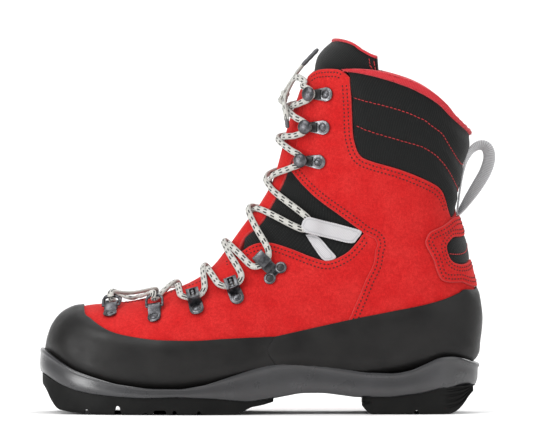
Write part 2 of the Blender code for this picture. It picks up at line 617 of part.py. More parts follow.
def box(name, low, high):
    corners = [(x, y, z) for x in (low[0], high[0]) for y in (low[1], high[1]) for z in (low[2], high[2])]
    faces = [(0, 1, 3, 2), (4, 6, 7, 5), (0, 4, 5, 1), (2, 3, 7, 6), (0, 2, 6, 4), (1, 5, 7, 3)]
    return solid(name, corners, faces, "outsole")


def make_outsole(name, bottom, grooves, rails):
    """Rubber tread: transverse grooves at the given x, widths and depths, and lengthwise rails cut clear."""
    first, last = bottom[0][0], bottom[-1][0]
    xs = sorted({x for x, _ in bottom} | {row[0] for row in SOLE_PLAN if first < row[0] < last})
    rings = sole_sections(xs, lambda x: height_at(MIDSOLE_BOTTOM, x) - 0.4, lambda x: height_at(bottom, x),
                          OUTSOLE_INSET, 0.8)
    sole = loft(name, rings, "outsole")
    for i, (x, width, depth) in enumerate(grooves):
        cut(sole, box(f"{name}_groove_{i}", (x - width / 2, -70.0, -5.0), (x + width / 2, 70.0, depth)))
    for i, (low_x, high_x, y, width, depth) in enumerate(rails):
        cut(sole, box(f"{name}_rail_{i}", (low_x, y - width / 2, -5.0), (high_x, y + width / 2, depth)))


# ---------------------------------------------------------------- hardware

def frame_at(places, sign):
    """A matrix on the skin: +X towards the tongue, +Z out of the boot, from the rivet and a point beyond it."""
    (rivet_t, rivet_v), (ahead_t, ahead_v) = (place(*spot) for spot in places)
    origin, ahead = skin(rivet_t, sign * rivet_v), skin(ahead_t, sign * ahead_v)
    middle_t, middle_v = (rivet_t + ahead_t) / 2, (rivet_v + ahead_v) / 2
    out = skin_normal(middle_t, sign * middle_v)
    forward = ahead - origin
    forward = (forward - out * forward.dot(out)).normalized()
    across = out.cross(forward)
    origin = skin(middle_t, sign * middle_v) - forward * (ahead - origin).length / 2
    return Matrix((forward, across, out)).transposed().to_4x4(), origin


def placed(frame, point):
    """A point in a hardware frame, as a place on the boot."""
    turn, origin = frame
    return origin + turn @ Vector(point)


def plate_shape(shape, length_low, length_high, half_low, half_high, low, high, sides=7):
    """A flat plate with a round lower end, straight sides and a square upper end."""
    arc = [(length_low + half_low - half_low * math.cos(math.pi * (k / sides - 0.5)),
            half_low * math.sin(math.pi * (k / sides - 0.5))) for k in range(sides + 1)]
    outline = arc + [(length_high, half_high), (length_high, -half_high)]
    bottom = [shape.verts.new((x, y, low)) for x, y in outline]
    top = [shape.verts.new((x, y, high)) for x, y in outline]
    shape.faces.new(list(reversed(bottom)))
    shape.faces.new(top)
    for i in range(len(outline)):
        k = (i + 1) % len(outline)
        shape.faces.new((bottom[i], bottom[k], top[k], top[i]))


def turned_shape(shape, profile, centre, sides=10, axis="Z"):
    """A closed turned shape: profile rows are (radius, height), the first and last on the axis."""
    rings = []
    for radius, height in profile:
        if radius == 0:
            spots = [(0.0, 0.0, height)]
        else:
            angles = [2 * math.pi * k / sides for k in range(sides)]
            spots = [(radius * math.cos(a), radius * math.sin(a), height) for a in angles]
        if axis == "X":
            spots = [(-z, y, x) for x, y, z in spots]
        rings.append([shape.verts.new(Vector(centre) + Vector(spot)) for spot in spots])
    for low, high in zip(rings, rings[1:]):
        for k in range(sides):
            n = (k + 1) % sides
            ring = [low[k % len(low)], low[n % len(low)], high[n % len(high)], high[k % len(high)]]
            shape.faces.new(list(dict.fromkeys(ring)))


def hardware(name, frame, build, look="metal"):
    """A piece made in its own frame, its separate shapes joined by an exact union."""
    turn, origin = frame
    pieces = build()
    made = None
    for i, shape in enumerate(pieces):
        bmesh.ops.recalc_face_normals(shape, faces=shape.faces)
        bmesh.ops.transform(shape, matrix=Matrix.Scale(MM, 4), verts=shape.verts)
        mesh = bpy.data.meshes.new(name)
        shape.to_mesh(mesh)
        shape.free()
        mesh.shade_smooth()
        mesh.set_sharp_from_angle(angle=math.radians(40))
        piece = add_object(name if i == 0 else f"{name}_add_{i}", mesh, look)
        piece.matrix_world = Matrix.Translation(origin * MM) @ turn
        if i == 0:
            made = piece
        else:
            piece.hide_render = True
            piece.display_type = "WIRE"
            union = made.modifiers.new(f"join_{i}", "BOOLEAN")
            union.operation = "UNION"
            union.object = piece
    return made


def rivet_head(shape, x, y, base, radius=3.0, rise=1.3):
    turned_shape(shape, ((0, base), (radius, base), (radius, base + 0.4 * rise), (0.6 * radius, base + rise),
                         (0, base + rise)), (x, y, 0), 10)


def strip_shape(shape, outline, half_width):
    """A bent plate: a closed side outline (x, z) given width across."""
    left = [shape.verts.new((x, -half_width, z)) for x, z in outline]
    right = [shape.verts.new((x, half_width, z)) for x, z in outline]
    shape.faces.new(left)
    shape.faces.new(list(reversed(right)))
    for i in range(len(outline)):
        k = (i + 1) % len(outline)
        shape.faces.new((left[i], right[i], right[k], left[k]))


CLIP_LENGTH = 8.6  # from a ring clip's rivet to its ring's bar
CLIP_BORE = 1.25
RING_WIRE = 0.95
RING_RISE = math.radians(26)
RING_REACH, RING_HALF = 8.0, 5.6
BAR_HEIGHT = 2.5


def make_ring_clip(name, frame):
    def build():
        plate, rivet, barrel = bmesh.new(), bmesh.new(), bmesh.new()
        plate_shape(plate, -4.6, CLIP_LENGTH - 1.4, 4.6, 4.0, 0.3, 1.2)
        rivet_head(rivet, 0.0, 0.0, 0.9)
        outer, inner = [], []
        for k in range(12):
            a = 2 * math.pi * k / 12
            outer.append((CLIP_LENGTH + 2.15 * math.cos(a), BAR_HEIGHT + 2.15 * math.sin(a)))
            inner.append((CLIP_LENGTH + CLIP_BORE * math.cos(a), BAR_HEIGHT + CLIP_BORE * math.sin(a)))
        rings = [[barrel.verts.new((x, y, z)) for x, z in ring]
                 for ring, y in ((outer, -3.9), (outer, 3.9), (inner, 3.9), (inner, -3.9))]
        for i in range(4):
            a, b = rings[i], rings[(i + 1) % 4]
            for k in range(12):
                n = (k + 1) % 12
                barrel.faces.new((a[k], a[n], b[n], b[k]))
        return [plate, rivet, barrel]
    hardware(name, frame, build)


def ring_route():
    """Centre line of the D: the bar, two straight arms and a rounded far side."""
    bow = [(math.pi * (k / 8 - 0.5)) for k in range(9)]
    spots = [(0.0, -RING_HALF)]
    spots += [(RING_REACH - 3.4 + 3.4 * math.cos(a), RING_HALF * math.sin(a)) for a in bow]
    return spots + [(0.0, RING_HALF)]


def make_d_ring(name, frame):
    """The ring, on its bar's axis."""
    turn, origin = frame
    route = [Vector((x * math.cos(RING_RISE), y, x * math.sin(RING_RISE))) for x, y in ring_route()]
    sides, points, faces = 6, [], []
    for i, spot in enumerate(route):
        ahead = (route[(i + 1) % len(route)] - spot).normalized()
        behind = (spot - route[i - 1]).normalized()
        along = (ahead + behind).normalized()
        up = Vector((-math.sin(RING_RISE), 0, math.cos(RING_RISE)))
        out = along.cross(up).normalized() / max(0.5, along.dot(ahead))
        angles = [2 * math.pi * k / sides for k in range(sides)]
        points += [spot + out * RING_WIRE * math.cos(a) + up * RING_WIRE * math.sin(a) for a in angles]
    for i in range(len(route)):
        a, b = sides * i, sides * ((i + 1) % len(route))
        faces += [(a + k, a + (k + 1) % sides, b + (k + 1) % sides, b + k) for k in range(sides)]
    made = solid(name, points, faces, "metal")
    made.matrix_world = Matrix.Translation(placed(frame, (CLIP_LENGTH, 0, BAR_HEIGHT)) * MM) @ turn


PULLEY_LENGTH = 13.4
ROLLER_LOW, ROLLER_HIGH = 5.2, 12.2
ROLLER_AXIS = 6.2
AXLE, AXLE_BORE = 0.84, 0.9


def make_pulley_frame(name, frame):
    """A bent plate that bridges the lace, with a slot and two end walls that hold the beaded roller."""
    def build():
        base, rivet, bridge = bmesh.new(), bmesh.new(), bmesh.new()
        plate_shape(base, -4.6, PULLEY_LENGTH, 4.6, 4.6, 0.3, 1.0)
        rivet_head(rivet, 0.0, 0.0, 0.8)
        wall, top = 0.9, ROLLER_AXIS + 1.8
        low_x, high_x = ROLLER_LOW - wall, ROLLER_HIGH + wall
        strip_shape(bridge, ((low_x, 0.6), (ROLLER_LOW, 0.6), (ROLLER_LOW, top), (low_x, top)), 2.0)
        far = bmesh.new()
        strip_shape(far, ((ROLLER_HIGH, 0.6), (high_x, 0.6), (high_x, top), (ROLLER_HIGH, top)), 4.4)
        shapes = [base, rivet, bridge, far]
        for y in (-3.2, 3.2):
            rail = bmesh.new()
            strip_shape(rail, ((low_x, top - 0.9), (high_x, top - 0.9), (high_x, top), (low_x, top)), 1.2)
            bmesh.ops.translate(rail, verts=rail.verts, vec=(0, y, 0))
            shapes.append(rail)
        cross = bmesh.new()
        strip_shape(cross, ((low_x, top - 0.9), (ROLLER_LOW, top - 0.9), (ROLLER_LOW, top), (low_x, top)), 4.0)
        shapes.append(cross)
        return shapes
    frame_piece = hardware(name, frame, build)
    turn, origin = frame
    pin = bmesh.new()
    low, high = -ROLLER_HIGH - 2.0, -ROLLER_LOW + 2.0
    turned_shape(pin, ((0, low), (AXLE_BORE, low), (AXLE_BORE, high), (0, high)), (0, 0, ROLLER_AXIS), 12, "X")
    bmesh.ops.recalc_face_normals(pin, faces=pin.faces)
    bmesh.ops.transform(pin, matrix=Matrix.Scale(MM, 4), verts=pin.verts)
    mesh = bpy.data.meshes.new(name + "_bore")
    pin.to_mesh(mesh)
    pin.free()
    bore = add_object(name + "_bore", mesh, "metal")
    bore.matrix_world = Matrix.Translation(origin * MM) @ turn
    cut(frame_piece, bore)


def make_roller(name, frame):
    """Three beads on one axle, turning in the frame's end walls."""
    turn, origin = frame
    roller = bmesh.new()
    length = ROLLER_HIGH - ROLLER_LOW
    axle, bead = AXLE, 1.45
    profile = [(0, -0.6), (axle, -0.6)]
    for i in range(3):
        middle = length * (i + 0.5) / 3
        profile += [(axle, middle - 1.05), (bead, middle - 0.35), (bead, middle + 0.35), (axle, middle + 1.05)]
    profile += [(axle, length + 0.6), (0, length + 0.6)]
    turned_shape(roller, [(radius, height - length) for radius, height in profile], (0, 0, 0), 10, "X")
    bmesh.ops.recalc_face_normals(roller, faces=roller.faces)
    bmesh.ops.transform(roller, matrix=Matrix.Scale(MM, 4), verts=roller.verts)
    mesh = bpy.data.meshes.new(name)
    roller.to_mesh(mesh)
    roller.free()
    mesh.shade_smooth()
    made = add_object(name, mesh, "metal")
    made.matrix_world = Matrix.Translation(placed(frame, (ROLLER_LOW, 0, ROLLER_AXIS)) * MM) @ turn


def make_lock_hook(name, frame):
    """A bent plate on two rivets: the lace jams under its flap."""
    def build():
        arm, ear_a, ear_b, base = bmesh.new(), bmesh.new(), bmesh.new(), bmesh.new()
        strip_shape(arm, ((-3.0, 0.3), (14.6, 0.3), (15.6, 1.2), (15.6, 6.6), (14.6, 7.6), (4.6, 7.6), (4.6, 6.7),
                          (14.0, 6.7), (14.7, 6.0), (14.7, 1.8), (14.0, 1.2), (-3.0, 1.2)), 4.2)
        shapes = [arm]
        for ear, y in ((ear_a, -5.2), (ear_b, 5.2)):
            turned_shape(ear, ((0, 0.3), (3.9, 0.3), (3.9, 1.2), (0, 1.2)), (-1.6, y, 0), 14)
            head = bmesh.new()
            rivet_head(head, -1.6, y, 0.9, 2.9, 1.4)
            shapes += [ear, head]
        strip_shape(base, ((-3.4, 0.3), (0.8, 0.3), (0.8, 1.2), (-3.4, 1.2)), 5.0)
        return shapes + [base]
    hardware(name, frame, build)


HOOK_NECK = 11.4  # from a hook's rivet to its neck


def make_hook(name, frame):
    """A riveted base plate, a neck that the lace wraps and a domed cap over it."""
    def build():
        base, rivet, neck = bmesh.new(), bmesh.new(), bmesh.new()
        plate_shape(base, -4.4, 14.6, 4.4, 2.6, 0.3, 1.1)
        rivet_head(rivet, 0.0, 0.0, 0.9, 2.9, 1.4)
        turned_shape(neck, ((0, 0.7), (1.5, 0.7), (1.5, 5.5), (4.9, 5.5), (4.9, 6.3), (3.3, 7.7), (0, 8.1)),
                     (HOOK_NECK, 0, 0), 12)
        return [base, rivet, neck]
    hardware(name, frame, build)


# ---------------------------------------------------------------- lace

# Where the two halves of the lace cross on the tongue (t), and the fitting that each goes to next.
LACE_STOPS = ((6.1, ("ring", 1)), (7.85, ("pulley", 0)), (9.4, ("pulley", 1)), (10.75, ("lock", 0)),
              (12.5, ("strap", 0)), (14.35, ("hook", 0)), (17.6, ("hook", 1)), (19.4, ("hook", 2)))

# Where each end runs after the top hook (t, v, height): a loop, the knot and a tail.
LACE_ENDS = (((21.1, 0.56, 3.4), (21.12, 0.32, 3.4), (20.95, 0.12, 4.6), (20.4, 0.10, 5.6), (20.0, 0.20, 6.8),
              (19.65, 0.27, 7.1), (19.3, 0.42, 7.1), (19.1, 0.48, 6.9), (18.95, 0.49, 6.4)),
             ((21.1, -0.56, 3.4), (21.12, -0.32, 3.4), (20.95, -0.14, 4.6), (20.4, -0.04, 7.0),
              (19.95, -0.02, 7.6), (20.0, -0.22, 7.6), (20.7, -0.28, 7.0), (21.4, -0.22, 4.6), (22.0, -0.17, 2.2)))
AGLETS = (((18.95, 0.49, 6.4), (18.55, 0.50, 4.4)), ((22.0, -0.17, 2.2), (23.6, -0.12, -2.9)))
AGLET_RADIUS = 1.5
AGLET_GAP = 0.4

def lace_route(frames):
    """Places that the lace passes, from its lateral end down to the toe and up to its medial end."""
    radius = LACE_RADIUS

    def at(key, sign, ahead, up, out):
        return placed(frames[key, sign], (ahead, -sign * up, out))

    def through_ring(key, sign):
        """Over the ring's far side, round it, and back out below."""
        far_x = CLIP_LENGTH + RING_REACH * math.cos(RING_RISE)
        far_z = BAR_HEIGHT + RING_REACH * math.sin(RING_RISE)
        bend = RING_WIRE + radius + 0.8
        turns = [math.radians(a) for a in (90, 135, 180, 225, 262)]
        return [at(key, sign, far_x + bend * math.cos(a), 0, far_z + bend * math.sin(a)) for a in turns]

    def across(key, sign, x, height, half, rise=1.0):
        """Past a roller or a flap, from its lower side to its upper side."""
        return [at(key, sign, x + 4.0, -half * 1.8, height + rise), at(key, sign, x, -half * 0.55, height),
                at(key, sign, x, half * 0.55, height), at(key, sign, x + 4.0, half * 1.8, height + rise)]

    def round_neck(key, sign):
        bend = 1.5 + radius + 0.4
        height = 1.1 + radius + 0.35
        turns = [math.radians(a) for a in (-110, -150, 180, 150, 110)]
        spots = [(HOOK_NECK + bend * math.cos(a), bend * math.sin(a)) for a in turns]
        spots = [(20.0, -6.6)] + spots + [(20.0, 6.6)]
        return [at(key, sign, x, y, height) for x, y in spots]

    def half_route(sign):
        """From the toe's bar up to the top hook, starting on one side; the other half is its mirror."""
        route = list(reversed(through_ring(("ring", 0), sign)))
        over = sign > 0
        here = sign
        for t, stop in LACE_STOPS:
            high, low = (4.2, 0.6) if stop == ("ring", 1) else (3.0, -0.5)
            route.append(on_skin(t, 0.0, high if over else low))
            over = not over
            here = -here
            if stop[0] == "ring":
                route += through_ring(stop, here)
            elif stop[0] == "pulley":
                route += across(stop, here, 8.7, 1.0 + radius + 0.3, 4.6)
            elif stop[0] == "lock":
                route += across(stop, here, 8.6, 1.2 + radius + 0.35, 4.4)
            elif stop[0] == "strap":
                spots = ((-2.5, -2.2, 2.3), (-6.0, 2.4, 2.2), (-2.6, 6.9, 2.3))
                route += [at(stop, here, *spot) for spot in spots]
            else:
                route += round_neck(stop, here)
        return route

    lateral_half, medial_half = half_route(1), half_route(-1)
    ends = [[on_skin(*spot) for spot in end] for end in LACE_ENDS]
    return ends[0][::-1] + lateral_half[::-1] + medial_half + ends[1]


def lace_floor(t, v):
    """How high the lace's centre must stay: over the tongue, or over the leather beside it."""
    if 9.6 < t < 15.6:
        share = (abs(v) - 0.12 * (t - 9.7)) / 0.34
    else:
        share = abs(v) / (0.12 + 0.055 * (t - 5.0) if t <= 9.6 else 0.45)
    return -0.4 + 2.5 * min(1.0, max(0.0, share))


def make_lace(frames):
    stops = lace_route(frames)
    route = []
    for i in range(len(stops) - 1):
        count = max(1, round((stops[i + 1] - stops[i]).length / 7.0))
        route += [Vector(curve_at(stops, i + k / count)) for k in range(count)]
    route.append(stops[-1])
    spots = [(4.5 + 0.15 * i, 0.06 * k) for i in range(122) for k in range(-25, 26)]
    near = KDTree(len(spots))
    for i, spot in enumerate(spots):
        near.insert(skin(*spot), i)
    near.balance()
    for i, spot in enumerate(route):
        t, v = spots[near.find(spot)[1]]
        out = skin_normal(t, v)
        route[i] = spot + out * max(0.0, lace_floor(t, v) - out.dot(spot - skin(t, v)))
    sides, points, faces = 6, [], []
    up = Vector((0, 0, 1))
    for i, spot in enumerate(route):
        ahead = (route[min(i + 1, len(route) - 1)] - route[max(i - 1, 0)]).normalized()
        up = (up - ahead * up.dot(ahead)).normalized()
        out = ahead.cross(up)
        angles = [2 * math.pi * k / sides for k in range(sides)]
        points += [spot + (out * math.cos(a) + up * math.sin(a)) * LACE_RADIUS for a in angles]
    for i in range(len(route) - 1):
        a, b = sides * i, sides * (i + 1)
        faces += [(a + k, a + (k + 1) % sides, b + (k + 1) % sides, b + k) for k in range(sides)]
    faces += [tuple(range(sides)), tuple(range(len(points) - sides, len(points)))]
    solid("lace", points, faces, "lace")
    for (name, _), (first, last) in zip(SIDES, AGLETS):
        make_aglet(f"{name}_aglet", on_skin(*first), on_skin(*last))


def make_aglet(name, first, last):
    """The stiff tip of the lace, butted against its end."""
    ahead = (last - first).normalized()
    turn = ahead.to_track_quat("Z", "Y").to_matrix()
    sides = 8
    angles = [2 * math.pi * k / sides for k in range(sides)]
    points = []
    for spot, radius in ((first + ahead * AGLET_GAP, AGLET_RADIUS), (last - ahead * 0.6, AGLET_RADIUS),
                         (last, 0.6 * AGLET_RADIUS)):
        points += [spot + turn @ Vector((radius * math.cos(a), radius * math.sin(a), 0)) for a in angles]
    faces = [tuple(range(sides)), tuple(range(2 * sides, 3 * sides))]
    for a, b in ((0, sides), (sides, 2 * sides)):
        faces += [(a + k, a + (k + 1) % sides, b + (k + 1) % sides, b + k) for k in range(sides)]
    solid(name, points, faces, "stiffener")


# ---------------------------------------------------------------- the boot

def main():
    for old in list(bpy.data.objects):
        bpy.data.objects.remove(old, do_unlink=True)
    make_vamp()
    make_rear_quarter()
    make_collar()
    make_heel_patch()
    make_tongue()
    make_lining()
    make_toe_puff()
    make_heel_counter()
    make_rand()
    make_pull_loop()
    sole_sheet("lasting_board", 2.0, 14.6, 2.62, BOARD, "board")
    sole_sheet("footbed", 3.0, 13.6, 2.76, FOOTBED, "lining")
    sole_sheet("shank", 8.2, 12.6, 2.98, SHANK, "stiffener")
    make_midsole()
    make_outsole("forefoot_outsole", FOREFOOT_BOTTOM,
                 ((-122.0, 5.0, 3.6), (-101.0, 6.0, 5.0), (-82.0, 4.0, 3.4), (-66.0, 5.0, 3.8), (-47.0, 5.0, 3.8),
                  (-32.0, 4.0, 3.4)), ((-112.0, -20.0, -14.0, 6.0, 3.0), (-112.0, -20.0, 14.0, 6.0, 3.0)))
    make_outsole("heel_outsole", HEEL_BOTTOM, ((84.0, 4.0, 4.0), (101.3, 4.5, 4.0), (116.0, 4.0, 4.0)),
                 ((76.0, 124.0, 0.0, 7.0, 3.0),))
    frames = {}
    for name, sign in SIDES:
        make_cuff(f"{name}_cuff", sign)
        make_gusset(f"{name}_gusset", sign)
        make_strap(f"{name}_strap", sign)
        for i, spots in enumerate(RING_CLIPS):
            frames[("ring", i), sign] = frame = frame_at(spots, sign)
            make_ring_clip(f"{name}_ring_clip_{i + 1}", frame)
            make_d_ring(f"{name}_d_ring_{i + 1}", frame)
        for i, spots in enumerate(PULLEYS):
            frames[("pulley", i), sign] = frame = frame_at(spots, sign)
            make_pulley_frame(f"{name}_pulley_frame_{i + 1}", frame)
            make_roller(f"{name}_pulley_roller_{i + 1}", frame)
        frames[("lock", 0), sign] = frame = frame_at(LOCK_HOOK, sign)
        make_lock_hook(f"{name}_lock_hook", frame)
        frames[("strap", 0), sign] = frame_at(((23.0, 128.5), (18.0, 131.5)), sign)
        for i, spots in enumerate(HOOKS):
            frames[("hook", i), sign] = frame = frame_at(spots, sign)
            make_hook(f"{name}_hook_{i + 1}", frame)
    make_lace(frames)


main()
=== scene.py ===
"""Looks for the left mountaineering boot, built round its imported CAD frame.

Shapes are worked out in millimetres and made into meshes in metres. The upper is one curved surface, read by
skin(t, v): t counts stations from the toe tip to the collar and v goes round a station's section, from the
front centre line (0) over the outer side (positive) to the sole or the back (pi). Soft pieces are outlines on
that surface with an inner and an outer depth.
"""

import math

import bmesh
import bpy
import numpy as np
from mathutils import Matrix, Vector
from mathutils.bvhtree import BVHTree
from mathutils.geometry import delaunay_2d_cdt
from mathutils.kdtree import KDTree


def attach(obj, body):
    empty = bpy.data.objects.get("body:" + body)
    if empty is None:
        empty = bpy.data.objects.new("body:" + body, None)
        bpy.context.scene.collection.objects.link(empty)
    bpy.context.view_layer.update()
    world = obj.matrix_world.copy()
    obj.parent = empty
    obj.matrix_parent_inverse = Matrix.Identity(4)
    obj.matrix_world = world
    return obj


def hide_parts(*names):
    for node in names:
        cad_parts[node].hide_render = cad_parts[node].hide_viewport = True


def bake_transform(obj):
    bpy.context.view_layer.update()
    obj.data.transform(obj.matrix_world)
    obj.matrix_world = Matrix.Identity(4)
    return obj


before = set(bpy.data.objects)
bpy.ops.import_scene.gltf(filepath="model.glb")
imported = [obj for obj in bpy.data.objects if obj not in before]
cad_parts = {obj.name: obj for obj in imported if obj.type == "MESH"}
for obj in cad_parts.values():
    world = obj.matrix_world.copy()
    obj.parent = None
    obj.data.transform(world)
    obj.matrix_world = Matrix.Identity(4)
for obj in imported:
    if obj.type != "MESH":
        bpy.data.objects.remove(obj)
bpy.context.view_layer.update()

MM = 0.001
BACK = math.pi
FLAT_V = 42.0  # rough millimetres for one radian of v
SIDES = (("lateral", 1), ("medial", -1))

# ---------------------------------------------------------------- camera

VIEW_WIDTH = 0.3624  # metres seen across the frame at the boot's middle plane
VIEW_CENTRE = (-0.0003, 0.0, 0.1283)
VIEW_DISTANCE = 9.0
VIEW_ELEVATION = math.radians(1.2)


def make_camera():
    """The photo's view: from the lateral side and a little above."""
    data = bpy.data.cameras.new("camera")
    data.sensor_width = 36.0
    data.lens = data.sensor_width * VIEW_DISTANCE / VIEW_WIDTH
    data.clip_start, data.clip_end = 0.1, 60.0
    made = bpy.data.objects.new("camera", data)
    bpy.context.scene.collection.objects.link(made)
    back = Vector((0.0, -math.cos(VIEW_ELEVATION), math.sin(VIEW_ELEVATION)))
    made.location = Vector(VIEW_CENTRE) + back * VIEW_DISTANCE
    made.rotation_euler = (-back).to_track_quat("-Z", "Y").to_euler()
    bpy.context.scene.camera = made


make_camera()

# ---------------------------------------------------------------- the upper's surface

# One row for each station: front x, z; back (or sole) x, z; half width; centre y; where along the section
# it is widest (0 front, 1 back); how square the front and the back halves are.
STATIONS = np.array((
    (-148.9, 43.5, -148.9, 43.5, 0.0, 8.0, 0.50, 2.2, 2.2),
    (-147.2, 51.8, -145.4, 35.8, 19.0, 8.0, 0.50, 2.2, 2.2),
    (-143.8, 60.2, -139.4, 31.2, 30.0, 7.5, 0.52, 2.2, 2.6),
    (-137.2, 67.6, -131.0, 26.9, 38.0, 7.0, 0.55, 2.2, 3.2),
    (-125.4, 72.4, -119.0, 22.8, 43.5, 6.0, 0.58, 2.2, 4.0),
    (-110.2, 74.4, -103.4, 19.0, 47.0, 4.5, 0.60, 2.2, 4.5),
    (-93.2, 76.9, -85.0, 16.6, 49.0, 3.0, 0.62, 2.2, 4.5),
    (-76.2, 81.3, -64.6, 16.2, 50.0, 1.0, 0.64, 2.2, 4.5),
    (-59.2, 87.6, -41.5, 18.6, 49.0, -0.5, 0.66, 2.2, 4.5),
    (-45.6, 94.7, -17.0, 24.8, 46.5, -1.5, 0.68, 2.1, 4.5),
    (-34.7, 105.0, 10.2, 30.9, 43.0, -1.5, 0.70, 2.1, 4.5),
    (-24.5, 119.0, 39.4, 30.3, 40.5, -1.0, 0.70, 2.1, 4.5),
    (-14.3, 132.9, 70.0, 26.9, 39.0, -0.5, 0.68, 2.2, 4.5),
    (-6.1, 143.5, 98.6, 29.6, 38.0, 0.0, 0.64, 2.2, 4.0),
    (0.0, 153.7, 121.7, 34.7, 37.0, 0.0, 0.60, 2.3, 3.2),
    (4.1, 163.2, 139.5, 42.2, 36.0, 0.0, 0.56, 2.4, 2.6),
    (6.5, 172.0, 144.3, 60.0, 36.0, 0.0, 0.52, 2.5, 2.3),
    (8.5, 180.9, 142.8, 78.9, 36.0, 0.0, 0.50, 2.5, 2.2),
    (10.9, 190.1, 137.7, 99.3, 36.5, 0.0, 0.50, 2.5, 2.2),
    (14.3, 202.0, 133.6, 118.3, 37.0, 0.0, 0.50, 2.5, 2.2),
    (18.7, 214.2, 128.5, 137.4, 38.5, 0.0, 0.50, 2.5, 2.2),
    (23.1, 226.4, 130.6, 153.7, 40.5, 0.0, 0.50, 2.5, 2.2),
    (26.3, 236.0, 133.3, 168.0, 43.0, 0.0, 0.50, 2.4, 2.2),
    (29.0, 244.5, 136.7, 180.2, 45.0, 0.0, 0.50, 2.3, 2.2),
    (34.9, 252.3, 138.4, 190.4, 46.0, 0.0, 0.50, 2.2, 2.2),
    (41.0, 259.4, 140.4, 203.3, 46.5, 0.0, 0.50, 2.2, 2.2),
    (47.5, 266.4, 143.5, 216.9, 47.0, 0.0, 0.50, 2.2, 2.2),
))
LAST_STATION = len(STATIONS) - 1

# Depths below (-) and above (+) the leather's outer face.
LEATHER = (-1.6, 0.0)
COLLAR = (-3.0, 0.0)
BINDING = (-5.7, 0.9)
OVERLAY = (0.3, 2.0)
RAND = (0.3, 2.2)
GUSSET = (-3.4, -2.4)
LINING = (-6.0, -4.0)
TONGUE = (-7.2, -2.4)
TONGUE_TOP = (-10.8, -6.8)
TONGUE_TRIM = (-11.4, -6.2)
FOOTBED = (-10.8, -7.2)

COLLAR_FOOT = (20.1, BACK)  # where the collar's padding starts at the heel
RAND_COVER = 8.0  # how far the leather reaches down behind the rand

# Seams and edges in side view (x, z).
QUARTER_TOP = ((-28.6, 104.3), (-18.4, 110.2), (-11.6, 114.4), (-4.8, 116.6), (4.1, 116.3), (17.0, 112.2),
               (29.2, 107.4), (39.4, 104.4), (45.6, 105.4), (53.0, 109.1), (59.2, 114.9), (63.9, 121.2))
QUARTER_SEAM = ((72.8, 119.0), (74.5, 114.9), (72.8, 108.1), (66.6, 91.1), (57.1, 68.0), (53.5, 56.5))
CUFF_LOW = ((15.6, 165.0), (24.5, 154.5), (34.0, 145.5), (48.0, 135.4), (61.2, 125.8), (65.5, 122.4))
CUFF_FRONT = ((27.2, 228.5), (25.8, 219.6), (23.1, 199.9), (19.0, 181.0), (15.6, 165.0))
CUFF_TOP = ((56.0, 228.6), (50.5, 233.2), (44.0, 234.4), (33.3, 233.2), (27.2, 228.5))
CUFF_BACK = ((125.1, 133.3), (122.1, 144.2), (117.8, 152.9), (107.4, 159.1), (90.4, 165.9), (71.4, 171.4),
             (63.2, 175.4), (59.2, 185.0), (57.8, 198.6), (57.1, 212.2), (56.0, 228.6))
COLLAR_LOW_EDGE = ((53.5, 232.0), (62.0, 230.9), (74.1, 228.2), (88.0, 224.0), (101.0, 218.8), (116.1, 209.8),
                   (127.5, 198.6))
COLLAR_TOP_EDGE = ((49.5, 235.4), (62.0, 235.8), (76.2, 234.2), (92.0, 229.9), (105.0, 224.6), (115.4, 218.8),
                   (123.0, 212.0), (130.5, 203.0))
RAND_SIDE = ((-123.1, 67.3), (-112.2, 59.2), (-100.6, 54.4), (-79.6, 51.0), (-62.6, 50.3), (-46.2, 50.3),
             (-25.2, 51.7), (5.4, 53.0))
RAND_HEEL = ((5.4, 53.0), (29.2, 58.3), (55.8, 64.2), (82.0, 69.4), (104.0, 73.7), (120.0, 78.0), (135.0, 84.3))
PATCH_EDGE = ((125.1, 132.6), (112.9, 125.1), (107.4, 119.0), (107.4, 114.2), (112.2, 104.7), (115.6, 94.5),
              (119.7, 89.8), (129.2, 88.9), (134.0, 88.0))
WINDOW_EDGE = ((133.3, 121.7), (127.6, 119.9), (123.3, 117.4), (121.2, 113.8), (122.0, 109.0), (124.2, 104.2),
               (128.8, 101.6), (136.0, 103.6))
TONGUE_SIDE = ((-24.0, 104.5), (-17.0, 120.5), (-6.8, 128.5), (1.4, 141.4), (7.5, 153.0), (12.9, 166.6),
               (18.0, 178.0), (24.0, 196.0), (29.5, 214.0), (32.0, 224.0))
TONGUE_TOP_EDGE = ((52.0, 253.6), (60.0, 248.0), (68.0, 243.2), (72.5, 241.4))
COLLAR_STITCH_1 = ((57.8, 214.2), (74.0, 210.5), (90.4, 206.0), (105.4, 199.9), (112.9, 194.5), (119.0, 189.7),
                   (123.4, 182.6), (127.8, 175.4), (131.5, 170.0))
COLLAR_STITCH_2 = ((59.8, 195.2), (74.0, 190.4), (90.4, 185.6), (104.0, 181.6), (112.2, 177.1), (118.0, 172.0),
                   (123.4, 164.6), (128.0, 156.0))
STRAP_UPPER = ((23.8, 127.0), (25.0, 130.8), (27.8, 133.2), (32.0, 133.0), (47.0, 129.4), (62.4, 125.2),
               (64.2, 122.8), (61.5, 119.0), (57.6, 115.8), (45.0, 118.4), (32.0, 121.4), (26.0, 122.9))
STRAP_LOWER = ((25.6, 122.0), (30.5, 122.4), (35.6, 120.0), (41.5, 113.4), (47.0, 106.8), (42.5, 104.2),
               (37.5, 105.0), (31.0, 113.5))


